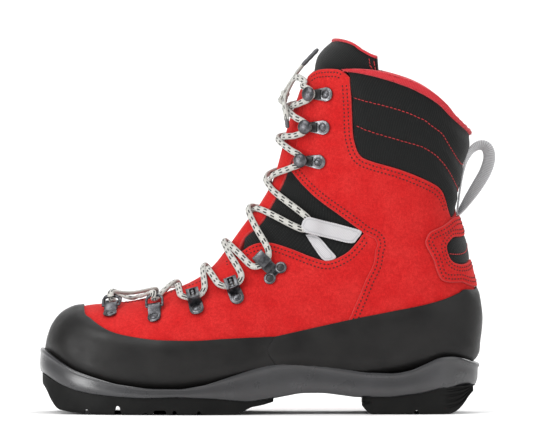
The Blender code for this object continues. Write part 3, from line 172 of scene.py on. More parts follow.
def rows_at(rows, t):
    """The smooth curve through rows at row number t."""
    rows, t = np.asarray(rows, float), np.asarray(t, float)
    padded = np.vstack([2 * rows[0] - rows[1], rows, 2 * rows[-1] - rows[-2]])
    i = np.clip(np.floor(t).astype(int), 0, len(rows) - 2)
    f = (t - i)[..., None]
    p0, p1, p2, p3 = padded[i], padded[i + 1], padded[i + 2], padded[i + 3]
    return 0.5 * (2 * p1 + (p2 - p0) * f + (2 * p0 - 5 * p1 + 4 * p2 - p3) * f ** 2
                  + (3 * p1 - 3 * p2 + p3 - p0) * f ** 3)


def skin(t, v):
    """Points of the leather's outer face, in millimetres."""
    t, v = np.broadcast_arrays(np.asarray(t, float), np.asarray(v, float))
    s = rows_at(STATIONS, t)
    cosine, sine = np.cos(v), np.sin(v)
    ahead = cosine > 0
    power = np.where(ahead, s[..., 7], s[..., 8])
    radius = (np.abs(cosine) ** power + np.abs(sine) ** power) ** (-1 / power)
    share = np.where(ahead, s[..., 6], 1 - s[..., 6])
    along = s[..., 6] - share * radius * cosine
    x = s[..., 0] + (s[..., 2] - s[..., 0]) * along
    z = s[..., 1] + (s[..., 3] - s[..., 1]) * along
    return np.stack([x, s[..., 5] - s[..., 4] * radius * sine, z], -1)


def unit(vectors):
    """The same directions, one long."""
    return vectors / np.maximum(np.linalg.norm(vectors, axis=-1, keepdims=True), 1e-9)


def skin_normal(t, v):
    """Outward normals of the surface."""
    t = np.clip(np.asarray(t, float), 0.08, LAST_STATION - 0.05)
    along = skin(t + 0.04, v) - skin(t - 0.04, v)
    across = skin(t, np.asarray(v) + 0.02) - skin(t, np.asarray(v) - 0.02)
    return unit(np.cross(across, along))


def on_skin(t, v, height=0.0):
    """A point height millimetres outside the skin."""
    return skin(t, v) + skin_normal(t, v) * height


def angle_of(depth, power):
    """v where a half section reaches depth (1 at its end, 0 at its widest)."""
    depth = min(max(depth, -1.0), 1.0)
    return math.atan2((1 - abs(depth) ** power) ** (1 / power), depth)


def place(x, z):
    """(t, v) of a side-view point, on the lateral side."""
    def beside(t):
        front_x, front_z, back_x, back_z = rows_at(STATIONS[:, :4], t)
        return (back_x - front_x) * (z - front_z) - (back_z - front_z) * (x - front_x)

    steps = np.arange(0.3, LAST_STATION, 0.2)
    ends = rows_at(STATIONS[:, :4], steps)
    signs = (ends[:, 2] - ends[:, 0]) * (z - ends[:, 1]) - (ends[:, 3] - ends[:, 1]) * (x - ends[:, 0]) > 0
    changed = np.nonzero(signs[1:] != signs[:-1])[0]
    low = steps[changed[0]] if len(changed) else steps[-2]
    high = low + 0.2
    for _ in range(20):
        middle = (low + high) / 2
        if beside(low) * beside(middle) <= 0:
            high = middle
        else:
            low = middle
    t = (low + high) / 2
    front_x, front_z, back_x, back_z, _, _, widest, front_power, back_power = rows_at(STATIONS, t)
    span = np.array((back_x - front_x, back_z - front_z))
    along = span @ np.array((x - front_x, z - front_z)) / (span @ span)
    if along < widest:
        return t, angle_of(1 - along / widest, front_power)
    return t, angle_of((widest - along) / (1 - widest), back_power)


def side(points):
    """Side-view points as (t, v)."""
    return [place(x, z) for x, z in points]


def eased(points, step=5.0):
    """A smooth side-view line through points, with a point about every step."""
    line = []
    for i in range(len(points) - 1):
        count = max(1, round(math.dist(points[i], points[i + 1]) / step))
        line += [tuple(p) for p in rows_at(points, i + np.arange(count) / count)]
    return line + [points[-1]]


def from_centre(t, y):
    """(t, v) on the front, y to the lateral side of the centre line."""
    row = rows_at(STATIONS, t)
    reach = min(y / row[4], 0.999)
    return t, math.atan2(reach, (1 - reach ** row[7]) ** (1 / row[7]))


def mirrored(points, centre=0.0):
    """The same edge on the medial side, in the opposite direction; centre is 0 at the front, pi at the back."""
    return [(t, 2 * centre - v) for t, v in reversed(points)]


def flow(points, step=2.2):
    """A smooth edge through (t, v) points, with a point about every step."""
    edge = []
    for i in range(len(points) - 1):
        length = np.linalg.norm(skin(*points[i + 1]) - skin(*points[i]))
        count = max(1, round(length / step))
        edge += [tuple(p) for p in rows_at(points, i + np.arange(count) / count)]
    return edge + [tuple(points[-1])]


def flow_side(points, *ends):
    """A smooth edge through side-view points, and then through (t, v) points."""
    return flow(side(points) + list(ends))


def whole(half):
    """A closed outline from the half on the lateral side, which starts and ends on the line of the heel."""
    return half + mirrored(half, BACK)[1:-1]


# ---------------------------------------------------------------- meshes

def tree_of(points):
    """A search tree of 3D points."""
    tree = KDTree(len(points))
    for i, point in enumerate(points):
        tree.insert(point, i)
    tree.balance()
    return tree


def lengths_along(path):
    """How far each place of a path is from its start."""
    return np.concatenate([[0], np.cumsum(np.linalg.norm(np.diff(path, axis=0), axis=1))])


def closed_bands(size, rings, first=0):
    """The faces between rings of size points each, where the points of a ring follow those of the one before."""
    starts = [first + r * size for r in range(rings)]
    return [(a + k, a + (k + 1) % size, b + (k + 1) % size, b + k) for a, b in zip(starts, starts[1:])
            for k in range(size)]


def oval(wide, thick, sides):
    """A ring of (across, out) points."""
    return [(wide * math.cos(a), thick * math.sin(a)) for a in np.linspace(0, 2 * math.pi, sides, False)]


def add_mesh(name, points, faces, materials, uvs=None, slots=None, smooth=40, values=None):
    """A mesh object from points in millimetres. uvs are per point; slots are material numbers per face."""
    mesh = bpy.data.meshes.new(name)
    mesh.from_pydata((np.asarray(points, float) * MM).tolist(), [], [list(map(int, f)) for f in faces])
    for made in materials:
        mesh.materials.append(made)
    if slots is not None:
        mesh.polygons.foreach_set("material_index", np.asarray(slots, np.int32))
    if uvs is not None:
        layer = mesh.uv_layers.new(name="UVMap")
        corners = np.zeros(len(mesh.loops), np.int32)
        mesh.loops.foreach_get("vertex_index", corners)
        layer.data.foreach_set("uv", np.asarray(uvs, np.float32)[corners].ravel())
    if values is not None:
        attribute = mesh.attributes.new("rim", "FLOAT", "POINT")
        attribute.data.foreach_set("value", np.asarray(values, np.float32))
    if smooth:
        mesh.shade_smooth()
        mesh.set_sharp_from_angle(angle=math.radians(smooth))
    made = bpy.data.objects.new(name, mesh)
    bpy.context.scene.collection.objects.link(made)
    return made


def turned_out(made):
    """Turns a closed mesh's faces outwards."""
    shape = bmesh.new()
    shape.from_mesh(made.data)
    bmesh.ops.recalc_face_normals(shape, faces=shape.faces)
    shape.to_mesh(made.data)
    shape.free()
    return made


def inside(points, outline):
    """Which (t, v) points are inside a closed outline."""
    outline = np.asarray(outline)
    x, y = points[:, :1], points[:, 1:]
    x0, y0 = outline[:, 0], outline[:, 1]
    x1, y1 = np.roll(x0, -1), np.roll(y0, -1)
    with np.errstate(divide="ignore", invalid="ignore"):
        crossed = ((y0 > y) != (y1 > y)) & (x < x0 + (y - y0) * (x1 - x0) / (y1 - y0))
    return crossed.sum(1) % 2 == 1


def without_repeats(outline):
    """The closed outline without points that lie on the one before."""
    kept = []
    for point in outline:
        if not kept or math.dist(point, kept[-1]) > 1e-4:
            kept.append(point)
    return kept[:-1] if math.dist(kept[0], kept[-1]) < 1e-4 else kept


def triangulate(loops, step, pace):
    """(t, v) points and triangles that fill the first outline and leave out the others."""
    scale = np.array((pace, FLAT_V))
    flat_loops = [np.asarray(loop) * scale for loop in loops]
    points, edges = [], []
    for loop in flat_loops:
        start = len(points)
        points += [Vector(p) for p in loop]
        edges += [(start + i, start + (i + 1) % len(loop)) for i in range(len(loop))]
    low, high = flat_loops[0].min(0), flat_loops[0].max(0)
    row_step = step * 0.87  # rows of near equilateral triangles
    rows = np.arange(math.ceil(low[0] / row_step), high[0] / row_step)
    columns = np.arange(math.floor(low[1] / step), high[1] / step + 1)
    grid = np.array([(i * row_step, (k + 0.5 * (i % 2)) * step) for i in rows for k in columns])
    keep = inside(grid, flat_loops[0])
    for hole in flat_loops[1:]:
        keep &= ~inside(grid, hole)
    near = tree_of([(p[0], p[1], 0.0) for p in np.vstack(flat_loops)])
    for p in grid[keep]:
        if near.find((p[0], p[1], 0.0))[2] > 0.6 * step:
            points.append(Vector(p))
    spread, _, triangles = delaunay_2d_cdt(points, edges, [], 0, 1e-5)[:3]
    flat = np.array([tuple(p) for p in spread])
    triangles = np.array([tuple(tri) for tri in triangles])
    middles = flat[triangles].mean(1)
    keep = inside(middles, flat_loops[0])
    for hole in flat_loops[1:]:
        keep &= ~inside(middles, hole)
    return flat / scale, triangles[keep]


def weld(places, triangles):
    """Drops what collapses where the surface closes to a point; places in the same 0.05 mm are one."""
    first, index = {}, []
    for i, spot in enumerate(np.round(places * 20).astype(int)):
        index.append(first.setdefault(tuple(spot), i))
    welded = np.array(index)[triangles]
    distinct = (welded[:, 0] != welded[:, 1]) & (welded[:, 1] != welded[:, 2]) & (welded[:, 0] != welded[:, 2])
    return welded[distinct]


def rim_of(triangles):
    """The directed edges that only one triangle has."""
    edges = {(int(a), int(b)) for tri in triangles for a, b in zip(tri, np.roll(tri, -1))}
    return sorted((a, b) for a, b in edges if (b, a) not in edges)


def panel(name, outline, depth, materials, holes=(), inset=0.2, step=3.2, pace=12.0, corner=0.5,
          inner_corner=0.0, relief=None):
    """A solid sheet on the skin, with rounded rims. relief(t, v, rim distance, points) raises its outer face.

    step is the size of its triangles, pace the rough millimetres of one station, and inset its gap to the outline.
    """
    loops = [without_repeats(outline)] + [without_repeats(hole) for hole in holes]
    spots, triangles = triangulate(loops, step, pace)
    places, normals = skin(spots[:, 0], spots[:, 1]), skin_normal(spots[:, 0], spots[:, 1])
    triangles = weld(places, triangles)
    a, b, c = places[triangles[:, 0]], places[triangles[:, 1]], places[triangles[:, 2]]
    if (np.cross(b - a, c - a) * normals[triangles[:, 0]]).sum() < 0:
        triangles = triangles[:, ::-1]
    rim = rim_of(triangles)
    inward = np.zeros_like(places)
    for i, k in rim:
        for end in (i, k):
            inward[end] += unit(np.cross(normals[end], places[k] - places[i]))
    length = np.linalg.norm(inward, axis=1, keepdims=True)
    inward = np.where(length > 1e-6, inward / np.maximum(length, 1e-6) / np.maximum(0.6, length / 2), 0)
    rim_spots = sorted({i for edge in rim for i in edge})
    near = tree_of(places[rim_spots])
    distance = np.array([near.find(p)[2] for p in places])
    raised = np.zeros(len(places)) if relief is None else relief(spots[:, 0], spots[:, 1], distance, places)
    outer = depth[1] + raised
    used = np.unique(triangles)
    rank = np.full(len(places), -1)
    rank[used] = np.arange(len(used))
    count = len(used)
    uvs = np.stack([spots[:, 1] * FLAT_V, spots[:, 0] * pace], 1) * MM
    points = [places[used] + inward[used] * (inset + corner) + normals[used] * outer[used, None]]
    points.append(places[used] + inward[used] * (inset + inner_corner) + normals[used] * depth[0])
    faces = [tuple(rank[tri]) for tri in triangles] + [tuple(rank[tri[::-1]] + count) for tri in triangles]
    slots = [0] * len(faces)
    coords, values = [uvs[used], uvs[used]], [distance[used], distance[used]]
    rim_rank = {i: k for k, i in enumerate(rim_spots)}
    rings = [(corner * (1 - math.sin(a)), outer - corner * (1 - math.cos(a))) for a in (0.6, 1.1, math.pi / 2)]
    if inner_corner:
        inner = np.full(len(places), depth[0])
        rings += [(inner_corner * (1 - math.cos(a)), inner + inner_corner * (1 - math.sin(a)))
                  for a in (0.0, 0.5, 1.0)]
    index = np.array(rim_spots)
    previous = {i: rank[i] for i in rim_spots}
    total = 2 * count
    for shift, height in rings:
        points.append(places[index] + inward[index] * (inset + shift) + normals[index] * height[index, None])
        coords.append(uvs[index])
        values.append(np.zeros(len(index)))
        here = {i: total + rim_rank[i] for i in rim_spots}
        faces += [(previous[b], previous[a], here[a], here[b]) for a, b in rim]
        slots += [len(materials) - 1] * len(rim)
        previous, total = here, total + len(index)
    faces += [(previous[b], previous[a], rank[a] + count, rank[b] + count) for a, b in rim]
    slots += [len(materials) - 1] * len(rim)
    return add_mesh(name, np.vstack(points), faces, materials, np.vstack(coords), slots, 50,
                    np.concatenate(values))


def smooth_step(x, low, high):
    """0 up to low, 1 from high on, and an eased run between them."""
    f = np.clip((x - low) / (high - low), 0, 1)
    return f * f * (3 - 2 * f)


def line_distance(points, path):
    """How far points are from a dense path on the lateral side, or from its mirror image."""
    t, v = np.array(path).T
    near = tree_of(np.vstack([skin(t, v), skin(t, -v)]))
    return np.array([near.find(p)[2] for p in points])


def waviness(points, size, seed=0.0):
    """A gentle uneven height between -1 and 1, about size millimetres from crest to crest."""
    x, y, z = (points * (2 * math.pi / size)).T
    return (np.sin(x + 0.7 * np.sin(z * 0.8 + seed)) * np.cos(z * 0.9 + 0.6 * np.sin(y + seed))
            + 0.6 * np.sin(0.6 * z + 1.3 * y + seed) * np.cos(0.7 * x - 0.4 * z + seed)) / 1.6


def sweep(name, route, section, material, ups, closed=False):
    """A tube: section (across, out) points carried along a route with one up direction at each place."""
    route, ups = np.asarray(route, float), np.asarray(ups, float)
    ahead = unit(np.roll(route, -1, 0) - np.roll(route, 1, 0) if closed else np.gradient(route, axis=0))
    ups = unit(ups - ahead * (ups * ahead).sum(1)[:, None])
    across = np.cross(ahead, ups)
    section = np.asarray(section, float)
    if section.ndim == 2:
        section = np.repeat(section[None], len(route), 0)
    points = route[:, None] + across[:, None] * section[..., :1] + ups[:, None] * section[..., 1:]
    size = section.shape[1]
    around = np.linspace(0, 1, size, endpoint=False)
    faces = closed_bands(size, len(route))
    last = (len(route) - 1) * size
    if closed:
        faces += [(last + k, last + (k + 1) % size, (k + 1) % size, k) for k in range(size)]
    else:
        faces += [tuple(range(size)), tuple(range(last, last + size))]
    uvs = np.stack([np.tile(around, len(route)), np.repeat(lengths_along(route) * MM, size)], 1)
    return turned_out(add_mesh(name, points.reshape(-1, 3), faces, [material], uvs))


def flexing(piece, slot, *nodes):
    """A soft piece, left in the boot's own frame rather than on a body; the CAD nodes that it replaces are hidden.
    """
    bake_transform(piece)
    if nodes:
        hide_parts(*nodes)


def riding(piece, body, slot, *nodes):
    """A piece that moves with one body."""
    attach(piece, body)
    if nodes:
        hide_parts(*nodes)


# ---------------------------------------------------------------- materials

def srgb(red, green, blue):
    """A colour given in 0 to 255 steps, as linear values."""
    def linear(step):
        value = step / 255
        return value / 12.92 if value <= 0.04045 else ((value + 0.055) / 1.055) ** 2.4
    return (linear(red), linear(green), linear(blue), 1.0)


WAVE_UNIT = 100 * math.pi  # the wave texture's scale for bands one millimetre apart


class Look:
    """A procedural material: one Principled shader and the nodes that feed it."""

    def __init__(self, name, roughness, metallic=0.0):
        self.made = bpy.data.materials.new(name)
        self.made.use_nodes = True
        self.tree = self.made.node_tree
        self.shader = self.tree.nodes["Principled BSDF"]
        self.shader.inputs["Roughness"].default_value = roughness
        self.shader.inputs["Metallic"].default_value = metallic
        self.coords = self.tree.nodes.new("ShaderNodeTexCoord")
        self.bump = None

    def link(self, output, target):
        self.tree.links.new(output, target)

    def setting(self, name, value):
        self.shader.inputs[name].default_value = value

    def noise(self, scale, detail=3.0):
        node = self.tree.nodes.new("ShaderNodeTexNoise")
        for name, number in (("Scale", scale), ("Detail", detail), ("Roughness", 0.55)):
            node.inputs[name].default_value = number
        self.link(self.coords.outputs["Object"], node.inputs["Vector"])
        return node.outputs["Fac"]

    def wave(self, pitch, distortion, across=False):
        """Bands that are pitch millimetres apart along the piece's own first direction, or its second."""
        turned = self.tree.nodes.new("ShaderNodeMapping")
        turned.inputs["Rotation"].default_value = (0, 0, math.pi / 2 if across else 0)
        self.link(self.coords.outputs["UV"], turned.inputs["Vector"])
        node = self.tree.nodes.new("ShaderNodeTexWave")
        node.inputs["Scale"].default_value = WAVE_UNIT / pitch
        node.inputs["Distortion"].default_value = distortion
        self.link(turned.outputs["Vector"], node.inputs["Vector"])
        return node.outputs["Fac"]

    def rim(self):
        """Millimetres from the piece's rim."""
        node = self.tree.nodes.new("ShaderNodeAttribute")
        node.attribute_name = "rim"
        return node.outputs["Fac"]

    def math(self, operation, first, second=0.0):
        node = self.tree.nodes.new("ShaderNodeMath")
        node.operation = operation
        for value, target in zip((first, second), node.inputs):
            if isinstance(value, (int, float)):
                target.default_value = value
            else:
                self.link(value, target)
        return node.outputs[0]

    def ranged(self, value, low, high, out_low=0.0, out_high=1.0):
        node = self.tree.nodes.new("ShaderNodeMapRange")
        for name, number in (("From Min", low), ("From Max", high), ("To Min", out_low), ("To Max", out_high)):
            node.inputs[name].default_value = number
        self.link(value, node.inputs["Value"])
        return node.outputs["Result"]

    def mixed(self, share, first, second):
        """A colour between two; each is an output or a colour."""
        node = self.tree.nodes.new("ShaderNodeMix")
        node.data_type = "RGBA"
        for value, target in zip((share, first, second), (node.inputs[0], node.inputs[6], node.inputs[7])):
            if isinstance(value, (int, float, tuple)):
                target.default_value = value
            else:
                self.link(value, target)
        return node.outputs[2]

    def color(self, value):
        self.link(value, self.shader.inputs["Base Color"])

    def rough(self, value):
        self.link(value, self.shader.inputs["Roughness"])

    def raised(self, height, distance):
        """Adds a bump whose full height is distance, in millimetres."""
        node = self.tree.nodes.new("ShaderNodeBump")
        node.inputs["Distance"].default_value = distance * MM
        self.link(height, node.inputs["Height"])
        if self.bump is not None:
            self.link(self.bump, node.inputs["Normal"])
        self.bump = node.outputs["Normal"]
        self.link(self.bump, self.shader.inputs["Normal"])


def suede(name, base, dark, light):
    """Napped leather: brushed patches, fine fibres and a soft sheen."""
    look = Look(name, 0.92)
    patches = look.ranged(look.noise(70, 4.0), 0.32, 0.68)
    fibres = look.ranged(look.noise(1500, 2.0), 0.3, 0.7)
    grain = look.ranged(look.noise(520, 4.0), 0.35, 0.65)
    tone = look.mixed(look.math("MULTIPLY", patches, 0.6), base, light)
    tone = look.mixed(look.math("MULTIPLY", fibres, 0.5), tone, dark)
    tone = look.mixed(look.math("MULTIPLY", grain, 0.38), tone, dark)
    look.color(tone)
    look.setting("Specular IOR Level", 0.12)
    look.setting("Sheen Weight", 0.12)
    look.setting("Sheen Roughness", 0.45)
    look.setting("Sheen Tint", (1.0, 0.42, 0.38, 1.0))
    look.raised(look.noise(900, 5.0), 0.16)
    look.raised(look.noise(3200, 2.0), 0.10)
    return look.made


def plain_rough(name, color, shade, roughness, grain=1500, bump=0.08):
    """One colour, shaded by a fine grain."""
    look = Look(name, roughness)
    look.color(look.mixed(look.ranged(look.noise(grain), 0.3, 0.7), color, shade))
    look.raised(look.noise(grain), bump)
    return look.made


def textile(name, base, light, pitch, sheen):
    """Plain weave in the piece's own directions; pitch in millimetres."""
    look = Look(name, 0.88)
    weave = look.math("MULTIPLY", look.wave(pitch, 0.4), look.wave(pitch, 0.4, across=True))
    fuzz = look.ranged(look.noise(1800), 0.35, 0.7)
    tone = look.mixed(look.math("MULTIPLY", weave, 0.7), base, light)
    tone = look.mixed(look.math("MULTIPLY", fuzz, 0.3), tone, base)
    look.color(tone)
    look.setting("Specular IOR Level", 0.2)
    look.setting("Sheen Weight", sheen)
    look.setting("Sheen Roughness", 0.5)
    look.raised(weave, 0.16)
    look.raised(look.noise(1500, 2.0), 0.06)
    return look.made


def rubber(name, base, light, low, high, bump=0.05, grain=1800, coat=0.0, gloss=0.25):
    """Moulded rubber: cloudy handling marks, a fine stipple and a roughness that runs from low to high."""
    look = Look(name, high)
    clouds = look.ranged(look.noise(42, 5.0), 0.35, 0.68)
    specks = look.ranged(look.noise(1300, 2.0), 0.55, 0.75)
    tone = look.mixed(look.math("MULTIPLY", clouds, 0.8), base, light)
    look.color(look.mixed(look.math("MULTIPLY", specks, 0.25), tone, light))
    look.rough(look.ranged(look.noise(60, 5.0), 0.3, 0.7, low, high))
    look.setting("Specular IOR Level", gloss)
    look.raised(look.noise(grain), bump)
    look.raised(look.noise(90), 0.12)
    if coat:
        look.setting("Coat Weight", coat)
        look.setting("Coat Roughness", 0.3)
    return look.made


def webbing(name, base, dark, pitch):
    """Ribbed tape; its ribs run across the tape, and a darker line runs along each border."""
    look = Look(name, 0.62)
    ribs = look.wave(pitch, 0.15, across=True)
    tone = look.mixed(look.math("MULTIPLY", ribs, 0.5), dark, base)
    border = look.math("ABSOLUTE", look.math("SUBTRACT", look.rim(), 1.4))  # the line is 1.4 mm from the edge
    band = look.ranged(border, 0.25, 0.6, 1.0, 0.0)
    look.color(look.mixed(look.math("MULTIPLY", band, 0.75), tone, dark))
    look.setting("Sheen Weight", 0.15)
    look.raised(ribs, 0.18)
    look.raised(look.noise(2500, 2.0), 0.05)
    return look.made


def metal(name, base, dark, low=0.24, high=0.46):
    """Blackened steel with handling wear."""
    look = Look(name, 0.35, 1.0)
    look.color(look.mixed(look.ranged(look.noise(350, 5.0), 0.35, 0.65), base, dark))
    look.rough(look.ranged(look.noise(500, 4.0), 0.3, 0.7, low, high))
    look.raised(look.noise(1200, 4.0), 0.02)
    return look.made


FLECK_PITCH = 7.4  # millimetres from one pair of dark flecks to the next
FLECK_ROWS = ((0.19, 0.0), (0.31, 0.12), (0.69, 0.5), (0.81, 0.62))  # place round the lace, shift along it
STRANDS, STRAND_PITCH = 16.0, 1.7


def lace_look():
    """A flat braid with pairs of dark flecks along it. UV is (round, along in metres)."""
    look = Look("lace_braid", 0.75)
    split = look.tree.nodes.new("ShaderNodeSeparateXYZ")
    look.link(look.coords.outputs["UV"], split.inputs[0])
    around, along = split.outputs[0], split.outputs[1]
    beat = look.math("MULTIPLY", along, 1000 / FLECK_PITCH)
    dark = 0.0
    for centre, shift in FLECK_ROWS:
        phase = look.math("FRACT", look.math("ADD", beat, shift))
        dash = look.math("LESS_THAN", phase, 0.46)
        stripe = look.math("LESS_THAN", look.math("ABSOLUTE", look.math("SUBTRACT", around, centre)), 0.034)
        dark = look.math("MAXIMUM", dark, look.math("MULTIPLY", dash, stripe))
    strands = look.math("MULTIPLY", around, STRANDS)
    climb = look.math("MULTIPLY", along, 1000 / STRAND_PITCH)
    up, down = (look.math("SINE", look.math("MULTIPLY", look.math(way, strands, climb), 2 * math.pi))
                for way in ("ADD", "SUBTRACT"))
    braid = look.math("MULTIPLY", look.math("MULTIPLY", up, down), 0.5)
    tone = look.mixed(look.ranged(braid, -0.5, 0.5), srgb(150, 149, 143), srgb(212, 211, 205))
    look.color(look.mixed(dark, tone, srgb(16, 17, 17)))
    look.setting("Sheen Weight", 0.2)
    look.raised(look.ranged(braid, -0.5, 0.5), 0.22)
    return look.made


RED = suede("red_suede_nap", srgb(192, 31, 31), srgb(140, 15, 17), srgb(208, 52, 49))
RED_CUT = plain_rough("red_cut_edge", srgb(186, 48, 47), srgb(150, 30, 30), 0.9)
BLACK_WEAVE = textile("black_weave", srgb(9, 10, 10), srgb(31, 33, 32), 1.1, 0.12)
BLACK_MESH = textile("black_lining_knit", srgb(15, 15, 17), srgb(36, 36, 38), 1.6, 0.3)
RED_TAPE = textile("red_binding_tape", srgb(176, 34, 42), srgb(214, 74, 82), 0.8, 0.2)
RAND_RUBBER = rubber("rand_rubber", srgb(13, 12, 12), srgb(27, 26, 25), 0.34, 0.55)
MIDSOLE_FOAM = rubber("midsole_moulding", srgb(28, 28, 30), srgb(44, 44, 47), 0.24, 0.38, bump=0.02, grain=1500,
                      coat=0.35, gloss=0.6)
OUTSOLE_RUBBER = rubber("outsole_rubber", srgb(9, 9, 9), srgb(19, 19, 18), 0.5, 0.7, bump=0.08, gloss=0.15)
STRAP_WHITE = webbing("strap_webbing", srgb(236, 234, 234), srgb(160, 159, 162), 0.8)
LOOP_GREY = webbing("loop_webbing", srgb(214, 214, 215), srgb(150, 150, 152), 1.1)
GUNMETAL = metal("gunmetal", (0.13, 0.131, 0.139, 1), (0.05, 0.05, 0.055, 1))
GUNMETAL_LIGHT = metal("gunmetal_worn", (0.20, 0.202, 0.21, 1), (0.10, 0.101, 0.107, 1), 0.28, 0.46)
BLACK_POLYMER = plain_rough("black_polymer", srgb(18, 18, 19), srgb(28, 28, 29), 0.45)
LACE_BRAID = lace_look()
AGLET_GREY = plain_rough("aglet_tube", srgb(84, 84, 88), srgb(64, 64, 67), 0.35, 900, 0.02)
# Thread of the leather seams: its dark red is partly the thread's own colour and partly painted shade of the
# stitch holes it sinks into.
THREAD_RED_HOLE_SHADE = plain_rough("thread_red_painted_hole_shade", srgb(72, 7, 9), srgb(50, 4, 6), 0.85)
THREAD_RED = plain_rough("thread_red", srgb(196, 40, 44), srgb(150, 22, 26), 0.7)
BOARD_FIBRE = plain_rough("board_fibre", srgb(120, 104, 80), srgb(96, 82, 62), 0.85)


# ---------------------------------------------------------------- stitching

def resampled(path, pitch):
    """Places at an even pitch along a 3D path."""
    lengths = lengths_along(path)
    stops = np.arange(pitch / 2, lengths[-1], pitch)
    return np.stack([np.interp(stops, lengths, path[:, k]) for k in range(3)], 1)


STITCH_PITCH = 2.6
STITCH_SIZE = (1.5, 1.05, 0.6)  # length, width and height of one stitch
STITCH_ROWS = (2.6, 5.6)  # how far the double rows are from a seam
BEAD = ((0.72, -0.72), (1.0, 0.0), (0.72, 0.72))  # rings of a stitch between its tips: radius, place along it


def stitch_points(edge, sign, offset, pitch, tree, lift, height):
    """Places, directions and normals of stitches beside an edge, on the surface that tree holds.

    The search for that surface starts height above the skin, and the stitches lie lift above the surface.
    """
    t, v = np.array(edge).T
    v = v * sign
    places, normals = skin(t, v), skin_normal(t, v)
    ahead = unit(np.gradient(places, axis=0))
    inward = unit(np.cross(normals, ahead)) * sign
    spots, outs = [], []
    for spot in resampled(places + inward * offset + normals * height, pitch):
        hit, out, _, _ = tree.find_nearest(Vector(spot) * MM)
        spots.append(np.array(hit) / MM + np.array(out) * lift)
        outs.append(np.array(out))
    spots, outs = np.array(spots), np.array(outs)
    return spots, unit(np.gradient(spots, axis=0)), outs


def stitched(name, piece, lines, look, size=STITCH_SIZE, pitch=STITCH_PITCH, lift=0.05, height=1.0, sides=6):
    """Stitches on a piece: small oval beads along edges, each (edge, offset), and along their mirror images."""
    mesh = piece.data
    tree = BVHTree.FromPolygons([v.co for v in mesh.vertices], [tuple(p.vertices) for p in mesh.polygons])
    length, width, thick = size
    points, faces = [], []
    rows = [stitch_points(edge, sign, offset, pitch, tree, lift, height) for sign in (1, -1)
            for edge, offset in lines]
    for spot, ahead, out in (stitch for row in rows for stitch in zip(*row)):
        across = np.cross(out, ahead)
        start = len(points)
        for radius, along in BEAD:
            for x, z in oval(radius * width / 2, radius * thick / 2, sides):
                points.append(spot + ahead * along * length / 2 + across * x + out * z)
        points += [spot - ahead * length / 2, spot + ahead * length / 2]
        faces += closed_bands(sides, len(BEAD), start)
        tip, end = len(points) - 1, len(points) - 2 - sides
        faces += [(tip - 1, start + (k + 1) % sides, start + k) for k in range(sides)]
        faces += [(tip, end + k, end + (k + 1) % sides) for k in range(sides)]
    return turned_out(add_mesh(name, points, faces, [look], smooth=80))


# ---------------------------------------------------------------- leather

def leather_relief(t, v, rim, points):
    """A slight puff away from the rims and a hand-made unevenness."""
    return 0.22 * waviness(points, 46) + 0.10 * waviness(points, 17, 2.0) - 0.25 * (1 - smooth_step(rim, 0, 4))


def facing_edge():
    """The vamp's edge from the centre line to the first point of the quarter's edge."""
    return [(4.8, 0.0), from_centre(5.0, 7.0), from_centre(5.5, 11.5), from_centre(6.5, 14.5),
            from_centre(7.5, 16.5), from_centre(8.5, 17.5), from_centre(9.4, 18.0)]


def vamp_relief(t, v, rim, points):
    """The vamp dips where the rear leather laps over it."""
    under = 1 - smooth_step(line_distance(points, flow_side(QUARTER_SEAM)), 0, 7)
    return leather_relief(t, v, rim, points) - 0.5 * under


def make_vamp():
    """The forefoot's leather, with the stitches along the quarter and the facing."""
    top = flow(facing_edge()) + flow([facing_edge()[-1]] + side(QUARTER_TOP))[1:]
    seam = flow_side([(69.0, 125.5), (78.0, 124.0)] + [(x + 4.5, z) for x, z in QUARTER_SEAM[1:]])
    low = flow([place(x, z - RAND_COVER) for x, z in reversed(RAND_SIDE)] + [(3.35, 0.0)])
    half = top + seam + flow([seam[-1], low[0]]) + low
    made = panel("vamp_leather", half + mirrored(half), LEATHER, [RED, RED_CUT], relief=vamp_relief)
    riding(made, "foot", "red_suede", "vamp")
    lines = [(flow_side(QUARTER_TOP), -offset) for offset in STITCH_ROWS] + [(flow(facing_edge())[4:], -2.4)]
    riding(stitched("vamp_thread", made, lines, THREAD_RED_HOLE_SHADE), "foot", "red_suede")


def rear_relief(t, v, rim, points):
    """The rear leather laps over the vamp at its seam."""
    lap = 1 - smooth_step(line_distance(points, flow_side(QUARTER_SEAM)), 2, 10)
    return leather_relief(t, v, rim, points) + 0.75 * lap


def make_rear_leather():
    """The leather of the heel sides and the cuff: one skin that bends at the ankle."""
    low = flow([(16.95, BACK)] + side([(x, z - RAND_COVER) for x, z in reversed(RAND_HEEL[2:])]))
    seam, wedge, front, top, back, lap = (flow_side(edge[::-1]) for edge in (
        QUARTER_SEAM, CUFF_LOW, CUFF_FRONT, CUFF_TOP, CUFF_BACK, CUFF_LOW + QUARTER_SEAM))
    half = low + seam + wedge + front + top + back + flow([back[-1], COLLAR_FOOT])
    made = panel("rear_leather", whole(half), LEATHER, [RED, RED_CUT], pace=15.0, relief=rear_relief)
    flexing(made, "red_suede", "rear_quarter", "lateral_cuff", "medial_cuff")
    lines = [(edge, -offset) for offset in STITCH_ROWS for edge in (lap[4:-2], top[2:-2], back[2:-2])]
    flexing(stitched("rear_thread", made, lines, THREAD_RED_HOLE_SHADE), "red_suede")


